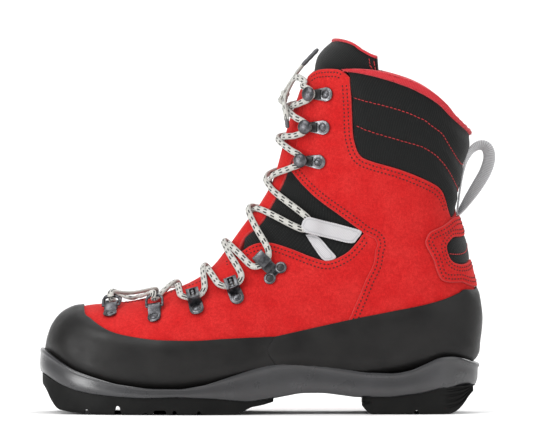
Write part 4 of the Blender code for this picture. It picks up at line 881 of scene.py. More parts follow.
def make_heel_patch():
    """The overlay behind the heel, with a window that shows the textile under it."""
    edge = flow([(19.85, BACK)] + side(PATCH_EDGE) + [(17.38, BACK)])
    inner = flow([(19.2, BACK)] + side(WINDOW_EDGE) + [(18.25, BACK)])
    hole = whole(inner)
    patch = panel("heel_patch_leather", whole(edge), OVERLAY, [RED, RED_CUT], [hole], step=2.6, pace=19.0,
                  relief=lambda t, v, rim, points: 0.2 * smooth_step(rim, 0, 5) + 0.1 * waviness(points, 15))
    flexing(patch, "red_suede", "heel_patch")
    window = panel("heel_window_textile", hole, (0.3, 1.0), [BLACK_WEAVE], step=2.6, pace=19.0, inset=0.1,
                   relief=lambda t, v, rim, points: 0.5 * smooth_step(rim, 0, 6))
    flexing(window, "black_textile", "heel_window")
    outer = flow([(19.85, BACK)] + side(PATCH_EDGE) + [(17.47, BACK)])
    lines = ((outer, 2.4), (outer, 5.2), (inner, -2.2), (inner, -4.8))
    flexing(stitched("patch_thread", patch, lines, THREAD_RED_HOLE_SHADE, height=4.0), "red_suede")
    line = flow_side(((123.0, 108.6), (134.6, 113.2)), (18.8, BACK))
    threads = stitched("window_thread", window, [(line, 0.0)], THREAD_RED, (1.9, 0.6, 0.6), 2.0, 0.1)
    flexing(threads, "red_binding")


# ---------------------------------------------------------------- padded textile

def collar_lines():
    """The two stitched channels, each to its station at the heel."""
    return [flow_side(line, (end, BACK)) for line, end in ((COLLAR_STITCH_1, 22.1), (COLLAR_STITCH_2, 20.75))]


def collar_relief(t, v, rim, points):
    """Foam channels between the stitch lines."""
    channel = np.minimum(*(line_distance(points, line) for line in collar_lines()))
    puff = 1.5 * smooth_step(rim, 0, 9) - 0.7
    return puff - 1.1 * (1 - smooth_step(channel, 0, 6.5)) + 0.18 * waviness(points, 21)


def make_collar():
    """The padded collar behind the ankle, its stitches and its binding."""
    seam = flow_side(CUFF_BACK)
    low = flow([COLLAR_FOOT, seam[0]]) + seam[1:]
    high = flow_side([(x, z + 1.6) for x, z in COLLAR_LOW_EDGE], (23.9, BACK))
    made = panel("collar_padding", whole(low + high), COLLAR, [BLACK_WEAVE], pace=17.0, step=2.8,
                 relief=collar_relief)
    riding(made, "cuff", "black_textile", "collar_panel")
    lines = [(line, 0.0) for line in collar_lines()]
    threads = stitched("collar_thread", made, lines, THREAD_RED, (2.3, 0.62, 0.6), 2.9, 0.12)
    riding(threads, "cuff", "red_binding")
    below = flow_side(COLLAR_LOW_EDGE, (23.8, BACK))
    lowered = [(x, z - (1.2 if x < 110 else 2.2)) for x, z in reversed(COLLAR_TOP_EDGE)]
    above = flow([(24.05, BACK)] + side(lowered))
    binding = panel("collar_tape", whole(below[::-1] + above[::-1]), BINDING, [RED_TAPE], step=1.6, pace=17.0,
                    corner=2.0, inner_corner=1.6)
    riding(binding, "cuff", "red_binding", "collar_binding")


def tongue_edge():
    """The lateral edge of the tongue's red face."""
    return [(4.9, 0.0), from_centre(4.95, 8.0), from_centre(5.2, 15.0), from_centre(6.0, 21.0),
            from_centre(7.0, 23.0), from_centre(8.0, 23.5), from_centre(9.0, 23.5)] + side(TONGUE_SIDE)


def make_tongue():
    """The tongue's red face, its padded top and the tape round that."""
    half = flow(tongue_edge())
    top = flow([half[-1], (21.2, 0.0)])
    puff = lambda t, v, rim, points: 0.9 * smooth_step(rim, 0, 10) + 0.25 * waviness(points, 30) - 0.4
    made = panel("tongue_leather", half + top + mirrored(half + top), TONGUE, [RED, RED_CUT], corner=1.4,
                 relief=puff)
    flexing(made, "red_suede", "tongue")
    high = flow([(24.75, 0.0)] + [place(x, z + 1.3) for x, z in TONGUE_TOP_EDGE])
    low = flow([place(75.0, 225.0), (21.9, 0.75), (21.4, 0.0)])
    puff = lambda t, v, rim, points: 1.2 * smooth_step(rim, 0, 9) - 0.4 + 0.2 * waviness(points, 25)
    top = panel("tongue_top_padding", high + low + mirrored(high + low)[1:-1], TONGUE_TOP, [BLACK_WEAVE],
                corner=1.2, relief=puff)
    riding(top, "cuff", "black_textile", "tongue_top")
    trim = flow([(24.6, 0.0)] + side(TONGUE_TOP_EDGE))
    above = flow([(24.85, 0.0)] + [place(x + 0.4, z + 2.1) for x, z in TONGUE_TOP_EDGE])
    band = trim[::-1] + mirrored(trim[::-1])[1:] + mirrored(above) + above[1:]
    tape = panel("tongue_tape", band, TONGUE_TRIM, [RED_TAPE], step=1.6, corner=1.4, inner_corner=1.4)
    riding(tape, "cuff", "red_binding", "tongue_binding")
    lines = [(flow_side(line), 0.0) for line in (((67.9, 244.4), (71.5, 228.0)), ((71.7, 242.6), (74.4, 231.0)))]
    threads = stitched("tongue_thread", top, lines, THREAD_RED, (2.1, 0.6, 0.6), 2.6, 0.1, 4.0)
    riding(threads, "cuff", "red_binding")


def make_gusset(name, sign):
    """The thin fabric between the tongue and one facing."""
    front = flow_side(TONGUE_SIDE[1:7])
    back = flow_side(((26.0, 174.0), (40.0, 150.0), (54.0, 139.0), (72.0, 128.0), (80.0, 117.0), (74.0, 105.0),
                      (60.0, 99.5), (40.0, 96.5), (20.0, 101.5), (2.0, 106.0), (-10.0, 104.0), (-18.0, 103.5)))
    made = panel(f"{name}_gusset_textile", [(t, sign * v) for t, v in front + back], GUSSET, [BLACK_WEAVE],
                 inset=0.3, relief=lambda t, v, rim, points: 0.35 * waviness(points, 24, 1.0) - 0.1)
    flexing(made, "black_textile", f"{name}_gusset")


def make_strap(name, sign):
    """The webbing that holds the lace at the ankle: the run that shows, and its tail below."""
    def fold(t, v, rim, points):
        """The strap's front stands up where the lace runs through it."""
        reach = np.hypot(points[:, 0] - 25.5, points[:, 2] - 129.0)
        return 3.9 * (1 - smooth_step(reach, 6, 17))
    upper, lower = ([(t, sign * v) for t, v in flow(side(edge), 1.6)] for edge in (STRAP_UPPER, STRAP_LOWER))
    made = panel(f"{name}_strap_upper", upper, (-1.2, 0.0), [STRAP_WHITE], step=1.8, corner=0.35, relief=fold)
    flexing(made, "white_webbing", f"{name}_strap")
    made = panel(f"{name}_strap_lower", lower, (-2.3, -1.3), [STRAP_WHITE], step=1.8, corner=0.3)
    flexing(made, "white_webbing")


def make_lining():
    """The knitted lining and the footbed inside the boot."""
    toe = flow([(2.6, BACK), (2.6, 2.1)]) + flow([(4.3, 1.7), (4.4, 0.9), (4.4, 0.1)])
    slit = flow([(4.65, 0.1)] + [(t, v + 0.05) for t, v in tongue_edge()[1:]])
    top = flow_side(((36.0, 230.0), (56.0, 227.5))) + flow_side(
        [(x, z - 1.2) for x, z in COLLAR_LOW_EDGE], (23.5, BACK))
    made = panel("lining_knit", whole(toe + slit + top), LINING, [BLACK_MESH], step=5.0, pace=18.0)
    flexing(made, "lining_fabric", "lining")
    edge = 2.76  # where the footbed ends, in v
    stations = [3.0 + 1.06 * i for i in range(11)]
    half = flow([(3.0, BACK), (3.0, edge)]) + flow([(t, edge) for t in stations])[1:] + flow(
        [(stations[-1], edge), (stations[-1], BACK)])[1:]
    bed = panel("footbed_felt", whole(half), FOOTBED, [BLACK_MESH], step=5.0, pace=26.0)
    riding(bed, "foot", "lining_fabric", "footbed")


# ---------------------------------------------------------------- rubber

def rand_relief(edge):
    """Rubber thins towards its upper edge and fills out just above the midsole, most at the heel."""
    def relief(t, v, rim, points):
        above = points[:, 2] - profile_at(MIDSOLE_TOP, points[:, 0])
        most = 2.8 * smooth_step(points[:, 0], -150, -122) + 1.2 * smooth_step(points[:, 0], 112, 136)
        fill = most * (1 - smooth_step(above, 1, 17))
        return fill - 0.9 * (1 - smooth_step(line_distance(points, edge), 0, 6)) + 0.12 * waviness(points, 60)
    return relief


def make_rand():
    """The rubber round the toe and the heel, above the midsole."""
    feather = 2.5  # where the rand ends under the midsole, in v
    top = flow([(4.0, 0.0), from_centre(4.08, 7.0)] + side(eased(RAND_SIDE)))
    low = flow([(t, feather) for t in (10.05, 8.0, 6.0, 4.0, 2.0, 1.0, 0.4)] + [(0.0, feather)])
    end = flow([top[-1], (9.9, 2.0), low[0]])
    half = top + end[1:] + low[1:]
    outline = half + [(0.0, v) for v in (1.8, 1.2, 0.6, 0.0)] + [(0.0, -v) for v in (0.6, 1.2, 1.8)]
    toe = panel("toe_rand_rubber", outline + mirrored(half)[:-1], RAND, [RAND_RUBBER], step=4.0, pace=20.0,
                inset=0.04, corner=0.3, relief=rand_relief(flow(top)))
    riding(toe, "foot", "rand_rubber", "toe_rand")
    top = flow([end[0]] + side(eased(RAND_HEEL)[1:]) + [(17.4, BACK)])
    low = flow([(15.1, BACK), (14.2, 2.85), (13.0, 2.62), (12.0, feather), (11.0, feather), low[0]])
    half = low + end[::-1][1:] + top[1:]
    heel = panel("heel_rand_rubber", whole(half), RAND, [RAND_RUBBER], step=4.0, pace=24.0, inset=0.04,
                 corner=0.3, relief=rand_relief(top))
    riding(heel, "foot", "rand_rubber", "heel_rand")


# ---------------------------------------------------------------- sole

# Plan outline of the sole: x, lateral y, medial y.
SOLE_PLAN = np.array((
    (-154.4, 1.0, 16.0), (-152.8, -12.0, 28.5), (-148.5, -22.5, 38.0), (-140.0, -32.5, 45.0),
    (-128.0, -41.0, 50.0), (-112.0, -47.5, 54.0), (-92.0, -52.0, 55.2), (-70.0, -54.6, 55.0),
    (-45.0, -55.2, 51.5), (-20.0, -51.5, 46.5), (5.0, -46.5, 41.5), (30.0, -42.5, 39.0),
    (60.0, -40.0, 38.5), (90.0, -39.5, 39.0), (110.0, -38.0, 38.0), (125.0, -34.0, 34.0),
    (135.0, -27.0, 27.0), (141.6, -18.5, 18.5), (145.2, -8.5, 8.5)))
MIDSOLE_TOP = ((-154.4, 44.6), (-143.5, 37.4), (-132.6, 30.6), (-119.0, 25.8), (-102.7, 21.1), (-80.0, 17.9),
               (-57.8, 17.7), (-41.5, 20.4), (-25.2, 25.8), (-8.8, 31.3), (7.5, 35.4), (21.1, 36.0),
               (50.3, 31.3), (66.6, 28.6), (87.0, 27.9), (97.9, 29.9), (117.6, 38.8), (126.5, 39.4),
               (134.0, 38.1), (144.8, 33.6))
MIDSOLE_BOTTOM = ((-154.4, 28.0), (-142.1, 20.4), (-131.2, 16.3), (-117.6, 13.6), (-102.7, 12.2),
                  (-83.6, 11.2), (-59.8, 12.0), (-36.0, 10.9), (-12.2, 8.6), (7.5, 11.6), (23.1, 14.6),
                  (39.4, 14.6), (61.2, 11.6), (83.6, 11.6), (105.4, 14.3), (118.3, 17.7), (144.8, 19.0))
FOREFOOT_BOTTOM = ((-152.6, 21.5), (-145.0, 3.6), (-133.3, 1.4), (-118.0, 0.0), (-17.7, 0.0), (-12.2, 4.8),
                   (-2.0, 6.6), (6.5, 9.4))
HEEL_BOTTOM = ((62.4, 9.6), (68.7, 0.0), (126.5, 0.0), (131.2, 2.7), (134.6, 6.1), (137.7, 11.6),
               (139.6, 16.2))


def profile_at(profile, x):
    """z of a side-view profile at x, eased a little between its points."""
    xs, zs = np.array([p[0] for p in profile]), np.array([p[1] for p in profile])
    return sum(np.interp(x + shift, xs, zs) for shift in (-3.0, -1.5, 0.0, 1.5, 3.0)) / 5


def sole_loop(first, last, spacing=2.0):
    """The sole's plan outline between two x, as a loop: lateral side towards the heel, medial side back."""
    s = np.linspace(0, len(SOLE_PLAN) - 1, 600)
    rows = rows_at(SOLE_PLAN, s)
    rows = rows[(rows[:, 0] >= first) & (rows[:, 0] <= last)]
    lengths = lengths_along(rows[:, :2])
    stops = np.linspace(0, lengths[-1], max(8, round(lengths[-1] / spacing)))
    even = np.stack([np.interp(stops, lengths, rows[:, k]) for k in range(3)], 1)
    lateral, medial = even[:, (0, 1)], even[::-1][:, (0, 2)]
    return np.vstack([lateral, medial]), len(even)


def wall_rings(loop, low, high, rows):
    """Rings of a wall between heights low and high: rows are (inset, share of the height)."""
    ahead = unit(np.roll(loop, -1, 0) - np.roll(loop, 1, 0))
    inward = np.stack([-ahead[:, 1], ahead[:, 0]], 1)
    if ((loop.mean(0) - loop) * inward).sum() < 0:
        inward = -inward
    return [np.column_stack([loop + inward * inset, low + (high - low) * share]) for inset, share in rows]


def ring_solid(name, rings, half, look):
    """A closed solid from stacked rings; the first and the last are closed across from side to side."""
    size = len(rings[0])
    faces = closed_bands(size, len(rings))
    for start in (0, (len(rings) - 1) * size):
        for k in range(half - 1):
            faces.append((start + k, start + k + 1, start + size - 2 - k, start + size - 1 - k))
    return turned_out(add_mesh(name, np.vstack(rings), faces, [look], smooth=38))


# The midsole's wall from the bottom up: inset, share of the height, how much further in it is at the heel.
MIDSOLE_WALL = ((1.0, 0.03, 2.6), (0.45, 0.08, 2.2), (0.15, 0.2, 1.7), (0.0, 0.34, 1.3), (0.1, 0.5, 1.0),
                (0.3, 0.62, 0.8), (0.5, 0.79, 0.5), (0.45, 0.835, 0.1), (0.35, 0.88, -0.35), (0.4, 0.945, -0.4),
                (0.7, 0.985, -0.2))


def make_midsole():
    """The moulded midsole, with a step below its upper edge."""
    loop, half = sole_loop(-154.4, 144.4)
    low, high = (profile_at(profile, loop[:, 0]) for profile in (MIDSOLE_BOTTOM, MIDSOLE_TOP))
    at_heel = smooth_step(loop[:, :1], 112, 140)
    rows = [(6.0, 0.0), (2.4, 0.0)] + [(inset + heel * at_heel, share) for inset, share, heel in MIDSOLE_WALL]
    rows += [(1.3, 1.0), (2.6, 0.985), (4.2, 0.93), (9.5, 0.82), (14.0, 0.66)]
    made = ring_solid("midsole_shell", wall_rings(loop, low, high, rows), half, MIDSOLE_FOAM)
    riding(made, "foot", "midsole_foam", "midsole")


def prism(points, low, high):
    """A cutter: a side-view outline (x, z) carried across from y low to y high."""
    count = len(points)
    verts = [(x, low, z) for x, z in points] + [(x, high, z) for x, z in points]
    faces = [tuple(range(count)), tuple(range(2 * count - 1, count - 1, -1))]
    return verts, faces + closed_bands(count, 2)


def cut_away(target, solids, name):
    """Cuts prisms out of target, and keeps only the result."""
    points, faces = [], []
    for verts, polygons in solids:
        faces += [tuple(i + len(points) for i in face) for face in polygons]
        points += verts
    cutter = turned_out(add_mesh(name, points, faces, list(target.data.materials), smooth=0))
    modifier = target.modifiers.new("grooves", "BOOLEAN")
    modifier.operation, modifier.solver, modifier.object = "DIFFERENCE", "EXACT", cutter
    modifier.use_self = True
    bpy.context.view_layer.objects.active = target
    bpy.ops.object.modifier_apply(modifier=modifier.name)
    bpy.data.objects.remove(cutter)
    target.data.shade_smooth()
    target.data.set_sharp_from_angle(angle=math.radians(32))


def groove(x, width, depth, low=-70.0, high=70.0, flare=0.8):
    """A groove across the tread with leaning walls."""
    half = width / 2
    return prism(((x - half - flare, -3.0), (x + half + flare, -3.0), (x + half, depth - 0.8),
                  (x + half - 0.8, depth), (x - half + 0.8, depth), (x - half, depth - 0.8)), low, high)


def rail(low_x, high_x, y, width, depth):
    """A groove along the tread."""
    verts = [(x, y + side_y, z) for x in (low_x, high_x) for side_y, z in
             ((-width / 2 - 0.6, -3.0), (width / 2 + 0.6, -3.0), (width / 2, depth), (-width / 2, depth))]
    return verts, [(0, 1, 2, 3), (7, 6, 5, 4)] + closed_bands(4, 2)


def make_tread(name, node, first, last, profile, wall, cuts):
    """One half of the outsole; wall(x) gives the rows of its wall."""
    loop, half = sole_loop(first, last)
    x = loop[:, 0]
    low, high = np.maximum(0.0, profile_at(profile, x)), profile_at(MIDSOLE_BOTTOM, x) + 0.6
    made = ring_solid(name, wall_rings(loop, low, high, wall(loop[:, :1])), half, OUTSOLE_RUBBER)
    cut_away(made, cuts, f"{name}_cutter")
    riding(made, "foot", "outsole_rubber", node)


def forefoot_wall(x):
    """The wall stands further out at the toe."""
    out = 1.9 * (1 - smooth_step(x, -151, -124))
    wall = ((3.2, 0.0), (2.6, 0.05), (2.3, 0.16), (2.2, 0.5), (2.2, 0.8), (2.1, 1.0))
    return [(8.0, 0.0)] + [(inset - out, share) for inset, share in wall] + [(8.0, 1.0)]


def heel_wall(x):
    """The wall has four ridges at the back."""
    out = 2.2 - 1.8 * smooth_step(x, 124, 139)
    ridged = out + 0.9 * smooth_step(x, 116, 126)
    rows = [(8.0, 0.0), (out + 1.0, 0.0), (out + 0.4, 0.05), (out, 0.14)]
    for i in range(4):
        rows += [(out, 0.2 + 0.2 * i), (ridged, 0.24 + 0.2 * i), (ridged, 0.29 + 0.2 * i), (out, 0.33 + 0.2 * i)]
    return rows + [(out, 1.0), (8.0, 1.0)]


def make_outsole():
    """The forefoot and the heel of the tread."""
    cuts = [groove(-122.0, 2.4, 3.5, flare=1.2), groove(-101.0, 2.6, 6.0, flare=2.0), groove(-82.0, 3.0, 1.4),
            groove(-72.5, 8.0, 3.2, flare=2.0), groove(-62.5, 2.6, 3.0, flare=1.2),
            groove(-46.0, 2.0, 2.8, flare=1.4), groove(-32.0, 4.0, 3.4, -42, -16), groove(-32.0, 4.0, 3.4, 16, 38),
            groove(-138.0, 4.0, 3.8, -20, 32), rail(-119.0, -20.0, -14.0, 6.0, 3.0),
            rail(-119.0, -20.0, 14.0, 6.0, 3.0)]
    make_tread("forefoot_tread", "forefoot_outsole", -152.8, 6.8, FOREFOOT_BOTTOM, forefoot_wall, cuts)
    cuts = [groove(84.0, 4.0, 4.0, -30, -12), groove(84.0, 4.0, 4.0, 12, 30), groove(101.3, 2.4, 2.8, flare=1.2),
            groove(101.3, 4.0, 4.0, -30, 30), groove(116.0, 4.0, 4.0, -26, -12), groove(116.0, 4.0, 4.0, 12, 26),
            rail(76.0, 124.0, 0.0, 7.0, 3.0)]
    make_tread("heel_tread", "heel_outsole", 62.0, 140.6, HEEL_BOTTOM, heel_wall, cuts)


# ---------------------------------------------------------------- hardware

RING_CLIPS = (((-106.4, 67.6), (-104.7, 73.0)), ((-76.2, 65.6), (-75.4, 72.8)))
PULLEYS = (((-47.3, 70.9), (-50.3, 83.0)), ((-20.1, 78.9), (-25.2, 91.4)))
LOCK_HOOK = ((4.9, 96.4), (-6.0, 106.6))
HOOKS = (((35.4, 171.0), (24.5, 172.0)), ((38.4, 194.2), (27.9, 194.5)), ((40.8, 216.4), (29.9, 216.2)))
CLIP_LENGTH = 8.6  # from a ring clip's rivet to its ring's bar
RING_WIRE = 0.95
RING_RISE = math.radians(26)
RING_REACH, RING_HALF = 8.0, 5.6
BAR_HEIGHT = 2.5
PULLEY_LENGTH = 13.4
ROLLER_LOW, ROLLER_HIGH = 5.2, 12.2
ROLLER_AXIS = 6.2
AXLE = 0.84


def frame_at(places, sign):
    """A matrix on the skin: +X towards the tongue, +Z out of the boot, from the rivet and a point beyond it."""
    (rivet_t, rivet_v), (ahead_t, ahead_v) = (place(*spot) for spot in places)
    rivet, ahead = Vector(skin(rivet_t, sign * rivet_v)), Vector(skin(ahead_t, sign * ahead_v))
    middle = ((rivet_t + ahead_t) / 2, sign * (rivet_v + ahead_v) / 2)
    out = Vector(skin_normal(*middle))
    forward = ahead - rivet
    length = forward.length
    forward = (forward - out * forward.dot(out)).normalized()
    across = out.cross(forward)
    origin = Vector(skin(*middle)) - forward * length / 2
    return Matrix((forward, across, out)).transposed().to_4x4(), origin


def placed(spot_frame, point):
    """A point of a fitting's frame, in the boot's frame."""
    turn, origin = spot_frame
    return origin + turn @ Vector(point)


class Fitting:
    """Shapes of one metal fitting in its own frame, gathered into one mesh."""

    def __init__(self, spot_frame):
        self.frame = spot_frame
        self.points, self.faces, self.slots = [], [], []

    def add(self, points, faces, slot=0):
        start = len(self.points)
        self.points += [tuple(p) for p in points]
        self.faces += [tuple(i + start for i in face) for face in faces]
        self.slots += [slot] * len(faces)

    def plate(self, outline, low, high, bevel=0.25, slot=0):
        """A flat plate from an outline, with its upper rim eased."""
        outline = np.asarray(outline, float)
        middle = outline.mean(0)
        count = len(outline)
        inner = middle + (outline - middle) * (1 - bevel / np.linalg.norm(outline - middle, axis=1).max() * 1.6)
        levels = [(inner, low), (outline, low + bevel * 0.6), (outline, high - bevel), (inner, high)]
        points = [(x, y, z) for ring, z in levels for x, y in ring]
        faces = [tuple(range(count))[::-1], tuple(range(3 * count, 4 * count))]
        self.add(points, faces + closed_bands(count, len(levels)), slot)

    def lathe(self, profile, centre, sides=28, axis="Z", slot=0):
        """A turned shape; profile rows are (radius, height) from the axis to the axis."""
        points, faces = [], []
        starts = []
        for radius, height in profile:
            starts.append((len(points), 1 if radius == 0 else sides))
            for k in range(starts[-1][1]):
                angle = 2 * math.pi * k / sides
                spot = (radius * math.cos(angle), radius * math.sin(angle), height)
                if axis == "X":
                    spot = (height, spot[0], spot[1])
                points.append(np.array(centre) + np.array(spot))
        for (a, na), (b, nb) in zip(starts, starts[1:]):
            for k in range(sides):
                n = (k + 1) % sides
                ring = list(dict.fromkeys((a + k % na, a + n % na, b + n % nb, b + k % nb)))
                if len(ring) > 2:
                    faces.append(ring)
        self.add(points, faces, slot)

    def strip(self, outline, half_width, y=0.0):
        """A bent plate: a closed side outline (x, z) given width across."""
        self.add(*prism(outline, y - half_width, y + half_width))

    def finish(self, name, materials, bevel=0.0):
        """The mesh object, in the boot's frame, with its sharp edges eased by bevel."""
        turn, origin = self.frame
        made = add_mesh(name, self.points, self.faces, materials, slots=self.slots, smooth=45)
        turned_out(made)
        made.matrix_world = Matrix.Translation(origin * MM) @ turn
        if bevel:
            modifier = made.modifiers.new("ease", "BEVEL")
            modifier.width, modifier.segments = bevel * MM, 2
            modifier.limit_method, modifier.angle_limit = "ANGLE", math.radians(50)
            bpy.context.view_layer.objects.active = made
            bpy.ops.object.modifier_apply(modifier=modifier.name)
            made.data.shade_smooth()
            made.data.set_sharp_from_angle(angle=math.radians(45))
        bpy.context.view_layer.update()
        made.data.transform(made.matrix_world)
        made.matrix_world = Matrix.Identity(4)
        return made


def stadium(low, high, half_low, half_high, sides=14):
    """A plate outline with a round lower end and a straight or rounded upper end."""
    arc = [(low + half_low - half_low * math.cos(math.pi * (k / sides - 0.5)),
            half_low * math.sin(math.pi * (k / sides - 0.5))) for k in range(sides + 1)]
    radius = min(1.6, half_high * 0.6)
    end = []
    for sign, angles in ((1, range(0, 91, 30)), (-1, range(90, -1, -30))):
        for a in angles:
            turn = math.radians(a)
            end.append((high - radius + radius * math.sin(turn),
                        sign * (half_high - radius + radius * math.cos(turn))))
    return arc + end


def dome(radius, base, rise, rim=0.35, steps=6):
    """The profile of a rivet's head."""
    rows = [(0.0, base), (radius, base), (radius, base + rim)]
    rows += [(radius * math.cos(a), base + rim + (rise - rim) * math.sin(a)) for a in
             np.linspace(0.25, math.pi / 2 - 0.2, steps)]
    return rows + [(0.0, base + rise)]


def add_rivet(fitting, x, y, base, radius=3.0, rise=1.35, head=0):
    """A head with a washer ring round it."""
    fitting.lathe([(0, base), (radius + 0.55, base), (radius + 0.55, base + 0.25), (radius + 0.1, base + 0.42),
                   (0, base + 0.42)], (x, y, 0), 28, slot=1)
    fitting.lathe(dome(radius - 0.15, base + 0.3, rise, 0.25), (x, y, 0), 28, slot=head)


def make_ring_clip(name, spot_frame):
    """A riveted plate whose end curls round the bar of a D ring."""
    fitting = Fitting(spot_frame)
    fitting.plate(stadium(-4.6, CLIP_LENGTH - 0.6, 4.6, 4.0), 0.1, 1.2)
    add_rivet(fitting, 0.0, 0.0, 0.9)
    turns = np.linspace(2.3, -2.2, 18)
    shield = [(2.6, 1.2), (4.2, 1.9), (5.6, 3.2)]
    shield += [(CLIP_LENGTH + 2.2 * math.cos(a), BAR_HEIGHT + 2.2 * math.sin(a)) for a in turns]
    shield += [(CLIP_LENGTH + 1.25 * math.cos(a), BAR_HEIGHT + 1.25 * math.sin(a)) for a in turns[::-1]]
    fitting.strip(shield + [(6.3, 2.2), (4.8, 1.0), (2.6, 0.9)], 4.3)
    return fitting.finish(name, [GUNMETAL, GUNMETAL_LIGHT], 0.12)


def make_d_ring(name, spot_frame):
    """A wire ring with one straight side, in the clip."""
    turn, _ = spot_frame
    bow = [(math.pi * (k / 20 - 0.5)) for k in range(21)]
    flat = [(0.0, y) for y in np.linspace(RING_HALF, -RING_HALF, 9)[:-1]]
    flat += [(x, -RING_HALF) for x in np.linspace(0.0, RING_REACH - 3.4, 4)[:-1]]
    flat += [(RING_REACH - 3.4 + 3.4 * math.cos(a), RING_HALF * math.sin(a)) for a in bow]
    flat += [(x, RING_HALF) for x in np.linspace(RING_REACH - 3.4, 0.0, 4)[1:-1]]
    origin = placed(spot_frame, (CLIP_LENGTH, 0, BAR_HEIGHT))
    route = [origin + turn @ Vector((x * math.cos(RING_RISE), y, x * math.sin(RING_RISE))) for x, y in flat]
    up = turn @ Vector((-math.sin(RING_RISE), 0, math.cos(RING_RISE)))
    return sweep(name, route, oval(RING_WIRE, RING_WIRE, 12), GUNMETAL, [up] * len(route), closed=True)


def make_pulley_frame(name, spot_frame):
    """A riveted plate with a bridge over the roller."""
    fitting = Fitting(spot_frame)
    fitting.plate(stadium(-4.9, PULLEY_LENGTH, 4.9, 4.6), 0.1, 1.0)
    add_rivet(fitting, 0.0, 0.0, 0.8, 3.1, 1.5)
    wall = 0.9
    top = ROLLER_AXIS + 1.8
    for x, half in ((ROLLER_LOW - wall, 4.0), (ROLLER_HIGH, 4.4)):
        fitting.strip([(x, 0.5), (x + wall, 0.5), (x + wall, top), (x, top)], half)
    low_x, high_x = ROLLER_LOW - wall, ROLLER_HIGH + wall
    for y in (-3.2, 3.2):
        fitting.strip([(low_x, top - 0.9), (high_x, top - 0.9), (high_x, top), (low_x, top)], 1.2, y)
    return fitting.finish(name, [GUNMETAL, GUNMETAL_LIGHT], 0.18)


def make_roller(name, spot_frame):
    """Three beads on one axle."""
    fitting = Fitting(spot_frame)
    length, bead = ROLLER_HIGH - ROLLER_LOW, 1.45
    profile = [(0, ROLLER_LOW - 0.6), (AXLE, ROLLER_LOW - 0.6)]
    for i in range(3):
        middle = ROLLER_LOW + length * (i + 0.5) / 3
        profile += [(AXLE + (bead - AXLE) * math.cos(a), middle + 1.05 * math.sin(a)) for a in
                    np.linspace(-math.pi / 2, math.pi / 2, 9)]
    profile += [(AXLE, ROLLER_HIGH + 0.6), (0, ROLLER_HIGH + 0.6)]
    fitting.lathe(profile, (0, 0, ROLLER_AXIS), 24, "X")
    return fitting.finish(name, [GUNMETAL_LIGHT])


def make_lock_hook(name, spot_frame):
    """The hook at the ankle, between two rivets."""
    fitting = Fitting(spot_frame)
    outer = [(-3.0, 0.2), (14.4, 0.2)] + [(14.4 + 1.2 * math.sin(a), 1.4 - 1.2 * math.cos(a)) for a in
                                         np.linspace(0.3, 1.57, 5)]
    outer += [(15.6, 6.4)] + [(14.4 + 1.2 * math.cos(a), 6.4 + 1.2 * math.sin(a)) for a in
                              np.linspace(0.3, 1.57, 5)]
    outer += [(4.9, 7.6), (4.6, 7.3), (4.6, 6.9), (4.9, 6.7), (13.9, 6.7), (14.5, 6.2), (14.6, 5.9), (14.6, 1.9),
              (14.4, 1.3), (13.9, 1.1), (-3.0, 1.1)]
    fitting.strip(outer, 4.2)
    for y in (-5.2, 5.2):
        fitting.plate([(ear_x - 1.6, ear_y + y) for ear_x, ear_y in oval(4.1, 4.1, 24)], 0.1, 1.15)
        add_rivet(fitting, -1.6, y, 0.9, 2.9, 1.5, head=2)
    fitting.strip([(-3.4, 0.3), (2.0, 0.3), (2.0, 1.1), (-3.4, 1.1)], 5.0)
    return fitting.finish(name, [GUNMETAL, GUNMETAL_LIGHT, BLACK_POLYMER], 0.2)


HOOK_NECK = 11.4  # from a hook's rivet to its neck


def make_hook(name, spot_frame):
    """A riveted speed hook: a neck under a round cap."""
    fitting = Fitting(spot_frame)
    fitting.plate(stadium(-4.9, 14.8, 4.9, 2.8), 0.1, 1.1, slot=1)
    add_rivet(fitting, 0.0, 0.0, 0.9, 3.0, 1.5)
    seat = [(4.2, -3.2), (8.2, -2.6), (8.2, 2.6), (4.2, 3.2)]
    fitting.plate(seat, 1.0, 2.2, 0.3, slot=2)
    cap = 5.5
    profile = [(0, 0.7), (2.3, 0.7), (2.3, 1.3), (1.5, 1.9), (1.5, cap - 0.4), (2.0, cap), (4.6, cap),
               (4.9, cap + 0.25), (4.9, cap + 0.6)]
    profile += [(4.9 * math.cos(a), cap + 0.6 + 1.9 * math.sin(a)) for a in np.linspace(0.25, 1.4, 7)]
    fitting.lathe(profile + [(0, cap + 2.5)], (HOOK_NECK, 0, 0), 32)
    return fitting.finish(name, [GUNMETAL, GUNMETAL_LIGHT, BLACK_POLYMER])


